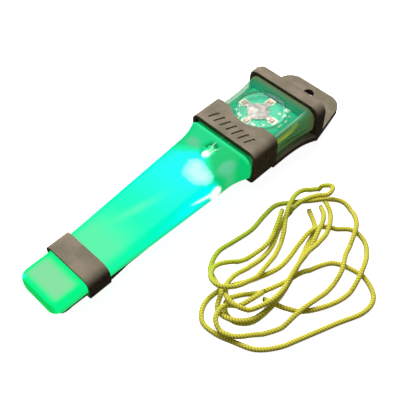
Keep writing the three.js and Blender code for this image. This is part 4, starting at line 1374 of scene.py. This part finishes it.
def clear_pad():
    finish = Finish("clear_pad")
    across, along, _ = finish.place()
    away = ((across * across) + (along - BUTTON_STATION) * (along - BUTTON_STATION)).math("SQRT")
    # A painted highlight: a lighter, less clear ring along the groove.
    groove_highlight = away.hill(BUTTON_RADIUS - 0.9, 0.55)
    cloud = finish.noise(3, 2)
    finish.set({
        "Base Color": finish.mix(linear(30, 190, 150), linear(150, 240, 214), groove_highlight),
        "Roughness": 0.08 + cloud * 0.06,
        "Alpha": 0.05 + groove_highlight * 0.2,
        "IOR": 1.45,
        "Specular IOR Level": 0.6,
    })
    finish.bump(cloud, strength=0.1, distance=0.05)
    return finish.material


hand_over(model_button(), clear_pad(), "button", "button_clear", "button_pad")

# %% [markdown]
# ## The lamp
# A small round lamp lies in the mouth of the light guide and shines along it. Its resin is a cylinder
# with a bevelled dome and a flange, and its two tinned leads run back to the board. Inside, a post and
# an anvil hold the die.

# %% Lamp
LAMP_ACROSS, LAMP_ALONG, LAMP_UP = mm_box("led_lamp")
LAMP_FLANGE_RADIUS = (LAMP_ACROSS[1] - LAMP_ACROSS[0]) / 2
LAMP_FLANGE = 0.4
LAMP_FLANGE_DEPTH = 0.9
LAMP_RADIUS = LAMP_FLANGE_RADIUS - LAMP_FLANGE


def model_lamp():
    length = LAMP_ALONG[1] - LAMP_ALONG[0]
    piece = add(
        "cylinder", "lamp", vertices=40, radius=LAMP_RADIUS * MM, depth=length * MM,
        location=(LAMP.x * MM, at(LAMP.y), LAMP.z * MM), rotation=(pi / 2, 0, 0),
    )
    settle(piece)
    with editing(piece, "EDGE"):
        def round_tip(_, edge):
            return all(station_of(corner.co.y) < LAMP_ALONG[0] + 0.01 for corner in edge.verts)
        pick(piece, "edges", round_tip)
        bpy.ops.mesh.bevel(offset=LAMP_RADIUS * 0.94 * MM, segments=8)
    with editing(piece):
        pick(piece, "faces", lambda middle, face: middle.y > LAMP_ALONG[1] - 0.01)
        wide = LAMP_FLANGE_RADIUS / LAMP_RADIUS
        shift(along=-LAMP_FLANGE_DEPTH)
        extrude(along=0.05)
        resize((wide, 1, wide), LAMP.x, LAMP_ALONG[1], LAMP.z)
        extrude(along=LAMP_FLANGE_DEPTH - 0.05)
    return soften(piece, 0.1, segments=2, degrees=40)


def lamp_resin():
    finish = Finish("lamp_resin")
    _, along, _ = finish.place()
    tip = along.rise(LAMP_ALONG[0] + 3.2, LAMP_ALONG[0] + 1.2)
    finish.set({
        "Base Color": finish.mix(linear(150, 230, 200), linear(255, 255, 255), tip),
        "Emission Color": finish.mix(linear(40, 200, 150), linear(255, 255, 255), tip),
        "Emission Strength": 1.6,
        "Alpha": 0.25 + tip * 0.75,
        "Roughness": 0.08 + finish.noise(2) * 0.05,
    })
    return finish.material


def model_lamp_frame():
    """The post and the anvil inside the resin."""
    x, _, z = LAMP
    start, end = LAMP_ALONG[0] + 2.2, LAMP_ALONG[1] - 0.3
    pieces = []
    for side in (-1, 1):
        across = sorted((x + side * 0.25, x + side * 1.0))
        piece = block("frame_half", across, (start + 0.7, end), (z - 0.25, z + 0.25))
        with editing(piece):
            pick(piece, "faces", lambda middle, face: face.normal.y < -0.9)
            extrude(along=-0.7)
            resize((1.3, 1, 1.6), x + side * 0.7, start, z)
        pieces.append(piece)
    return soften(join(pieces, "lamp_frame"), 0.08, segments=1)


hand_over(model_lamp(), lamp_resin(), "light", "lamp_clear", "led_lamp")
# The lamp's frame and leads get a stronger painted glow, for the lamp's light around them.
frame_metal = solder("frame_metal", linear(206, 210, 170), linear(236, 238, 208), metallic=0.3, glow=0.7)
hand_over(model_lamp_frame(), frame_metal, "light", "contact_metal")


# %% Round wires
LEAD_RADIUS = 0.28
JACKET_RADIUS = 0.78
JACKET_ENDS = ((0.3, 1.3), (1.6, 0.9), (3.5, 0))


def wire(name, points, radius, sides=14):
    """A round wire through points, from a curve with a bevel that is turned into a mesh."""
    curve = bpy.data.curves.new(name, "CURVE")
    curve.dimensions = "3D"
    curve.bevel_depth = radius * MM
    curve.bevel_resolution = sides // 4
    curve.use_fill_caps = True
    spline = curve.splines.new("NURBS")
    spline.points.add(len(points) - 1)
    for control, (x, station, height) in zip(spline.points, points):
        control.co = (x * MM, at(station), height * MM, 1)
    spline.use_endpoint_u = True
    spline.order_u = 3
    spline.resolution_u = 12
    piece = bpy.data.objects.new(name, curve)
    bpy.context.scene.collection.objects.link(piece)
    make_active(piece)
    bpy.ops.object.convert(target="MESH")
    return smooth(bpy.context.object, 50)


def lamp_lead(side, node):
    across, along, up = mm_box(node)
    x = sum(across) / 2
    points = [(LAMP.x + side * 0.65, along[0] - 0.2, LAMP.z), (x, along[0] + 1.4, LAMP.z)]
    points += [(x, along[1] - 3, up[1] - 0.3), (x, along[1], up[1] - 0.3)]
    return wire(node + "_wire", points, LEAD_RADIUS)


for side, node in ((1, "led_lead_anode"), (-1, "led_lead_cathode")):
    hand_over(lamp_lead(side, node), frame_metal, "light", "contact_metal", node)

# %% [markdown]
# The battery wire runs down one side of the cells from contact to contact. Its jacket is a bright
# yellow plastic that shows as a soft stripe through the wall of the head.

# %% Battery wire
def model_battery_wire():
    across, along, up = mm_box("battery_lead")
    x, low = sum(across) / 2 + 0.05, up[0] + 0.6
    points = [(x, along[0] + run, low + rise) for run, rise in JACKET_ENDS]
    points.append((x, sum(along) / 2, low - 0.2))
    points += [(x, along[1] - run, low + rise) for run, rise in reversed(JACKET_ENDS)]
    return wire("battery_wire", points, JACKET_RADIUS, sides=20)


def wire_jacket():
    finish = Finish("wire_jacket")
    scuff = finish.noise(1.4, 2, stretch=(3, 0.6, 3))
    finish.set({
        "Base Color": finish.mix(linear(214, 204, 20), linear(240, 232, 40), scuff.rise(0.3, 0.7)),
        # A painted glow of the jacket's own yellow, so that it shows through the wall of the head.
        "Emission Color": linear(236, 226, 0),
        "Emission Strength": 0.95,
        "Roughness": 0.4 + scuff * 0.15,
    })
    return finish.material


hand_over(model_battery_wire(), wire_jacket(), "light", "wire_jacket", "battery_lead")

# %% [markdown]
# ## The working parts that stay as CAD
# The plug, the seal, the cells, their contacts and the clip's small steel parts already have the right
# shape. They keep their CAD meshes, which are loose triangles, so a weld and a small bevel are added as
# live modifiers, and each group gets a finish of its own.

# %% Refine CAD nodes
def refine(node, material, width, segments):
    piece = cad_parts[node]
    piece.data.materials.clear()
    piece.data.materials.append(material)
    piece.data.polygons.foreach_set("use_smooth", [True] * len(piece.data.polygons))
    weld = piece.modifiers.new("weld", "WELD")
    weld.merge_threshold = 0.00001
    bevel = piece.modifiers.new("soft_edges", "BEVEL")
    bevel.width = width * MM
    bevel.segments = segments
    bevel.limit_method = "ANGLE"
    bevel.angle_limit = radians(32)
    bevel.harden_normals = True
    print("refined", node)


def plain_plastic(name, low, high, roughness):
    finish = Finish(name)
    grain = finish.noise(0.5, 3)
    finish.set({
        "Base Color": finish.mix(low, high, grain.rise(0.3, 0.7)),
        "Roughness": roughness + grain * 0.15,
    })
    finish.bump(grain, strength=0.25, distance=0.06)
    return finish.material


def brushed_steel(name, low, high, stretch, roughness=0.24):
    """Steel with fine lines along the axis that is stretched least."""
    finish = Finish(name)
    lines = finish.noise(0.35, 4, stretch=stretch)
    cloud = finish.noise(5, 2)
    finish.set({
        "Base Color": finish.mix(low, high, lines.rise(0.3, 0.7)),
        "Metallic": 1.0,
        "Roughness": roughness + cloud * 0.14 + lines * 0.08,
    })
    finish.bump(lines, strength=0.2, distance=0.04)
    return finish.material


black_plastic = plain_plastic("black_plastic", linear(24, 24, 24), linear(48, 48, 46), 0.42)
seal_rubber = plain_plastic("seal_rubber", linear(16, 16, 16), linear(34, 34, 34), 0.3)
cell_steel = brushed_steel("cell_steel", linear(176, 174, 168), linear(222, 220, 214), (1, 9, 1))
contact_metal = brushed_steel("contact_metal", linear(204, 190, 150), linear(232, 220, 184), (1, 6, 6))
pin_steel = brushed_steel("pin_steel", linear(150, 148, 142), linear(200, 198, 192), (1, 8, 8))
REFINED = (
    (("cap_plug", "battery_sled"), black_plastic, 0.15, 2),
    (("cap_seal",), seal_rubber, 0.05, 1),
    (("coin_cell_lower", "coin_cell_upper"), cell_steel, 0.35, 3),
    (("positive_contact", "negative_spring"), contact_metal, 0.05, 1),
    (("clip_pin", "bracket_screw_1", "bracket_screw_2", "clip_spring"), pin_steel, 0.12, 2),
)
for nodes, material, edge_width, edge_segments in REFINED:
    for node in nodes:
        refine(node, material, edge_width, edge_segments)

# %% [markdown]
# ## Clip and bracket
# The clip is one strip of spring steel under a black coating. Coating wears first where the strip rubs
# on webbing; here fine scratches, spread by noise over the whole strip, show a little brown steel.

# %% Coated spring steel
def coated_steel(name):
    finish = Finish(name)
    _, _, up = finish.place()
    grain = finish.noise(0.4, 3)
    scratch = finish.noise(0.5, 3, stretch=(8, 1, 1))
    worn = (scratch.rise(0.62, 0.72) * 0.5).clamped()
    coat = finish.mix(linear(24, 22, 20), linear(44, 40, 36), grain.rise(0.3, 0.7))
    finish.set({
        "Base Color": finish.mix(coat, linear(96, 88, 78), worn),
        "Metallic": 0.25 + worn * 0.6,
        "Roughness": 0.42 + grain * 0.2 - worn * 0.1,
    })
    finish.bump(grain - worn * 0.5, strength=0.25, distance=0.05)
    return finish.material


coated = coated_steel("coated_steel")
refine("webbing_clip", coated, 0.35, 3)
refine("clip_bracket", coated, 0.2, 2)

# %% [markdown]
# ## Floor and light
# The studio is a white floor under two large soft lights. The floor glows by itself, so that it stays
# white round the piece, and it is left out of the light that reaches the sides, as a floor that is
# covered with black card beside a product is.

# %% Floor and soft lights
def studio_floor():
    bpy.ops.object.select_all(action="DESELECT")
    bpy.ops.mesh.primitive_plane_add(size=3, location=(0, 0, 0))
    floor = bpy.context.object
    floor.name = "studio_floor"
    finish = Finish("studio_floor")
    finish.set({"Base Color": (0.85, 0.85, 0.85, 1), "Roughness": 0.9, "Emission Color": (1, 1, 1, 1)})
    finish.set({"Emission Strength": 0.92, "Specular IOR Level": 0.1})
    floor.data.materials.append(finish.material)
    floor.visible_diffuse = False
    floor.visible_glossy = False
    return floor


def soft_light(name, where, size, watts, tint=(1, 1, 1)):
    data = bpy.data.lights.new(name, "AREA")
    data.shape = "SQUARE"
    data.size = size
    data.energy = watts
    data.color = tint
    lamp = bpy.data.objects.new(name, data)
    lamp.location = where
    lamp.rotation_euler = (-Vector(where)).to_track_quat("-Z", "Y").to_euler()
    bpy.context.scene.collection.objects.link(lamp)


studio_floor()
soft_light("overhead_box", (-0.35, 0.25, 0.75), 0.6, 7.5)
soft_light("left_box", (-0.7, -0.35, 0.45), 0.5, 1.6)
world = bpy.data.worlds.new("studio")
bpy.context.scene.world = world
world.use_nodes = True
world.node_tree.nodes["Background"].inputs["Color"].default_value = (1, 1, 1, 1)
world.node_tree.nodes["Background"].inputs["Strength"].default_value = 0.12
print("floor and lights ready")
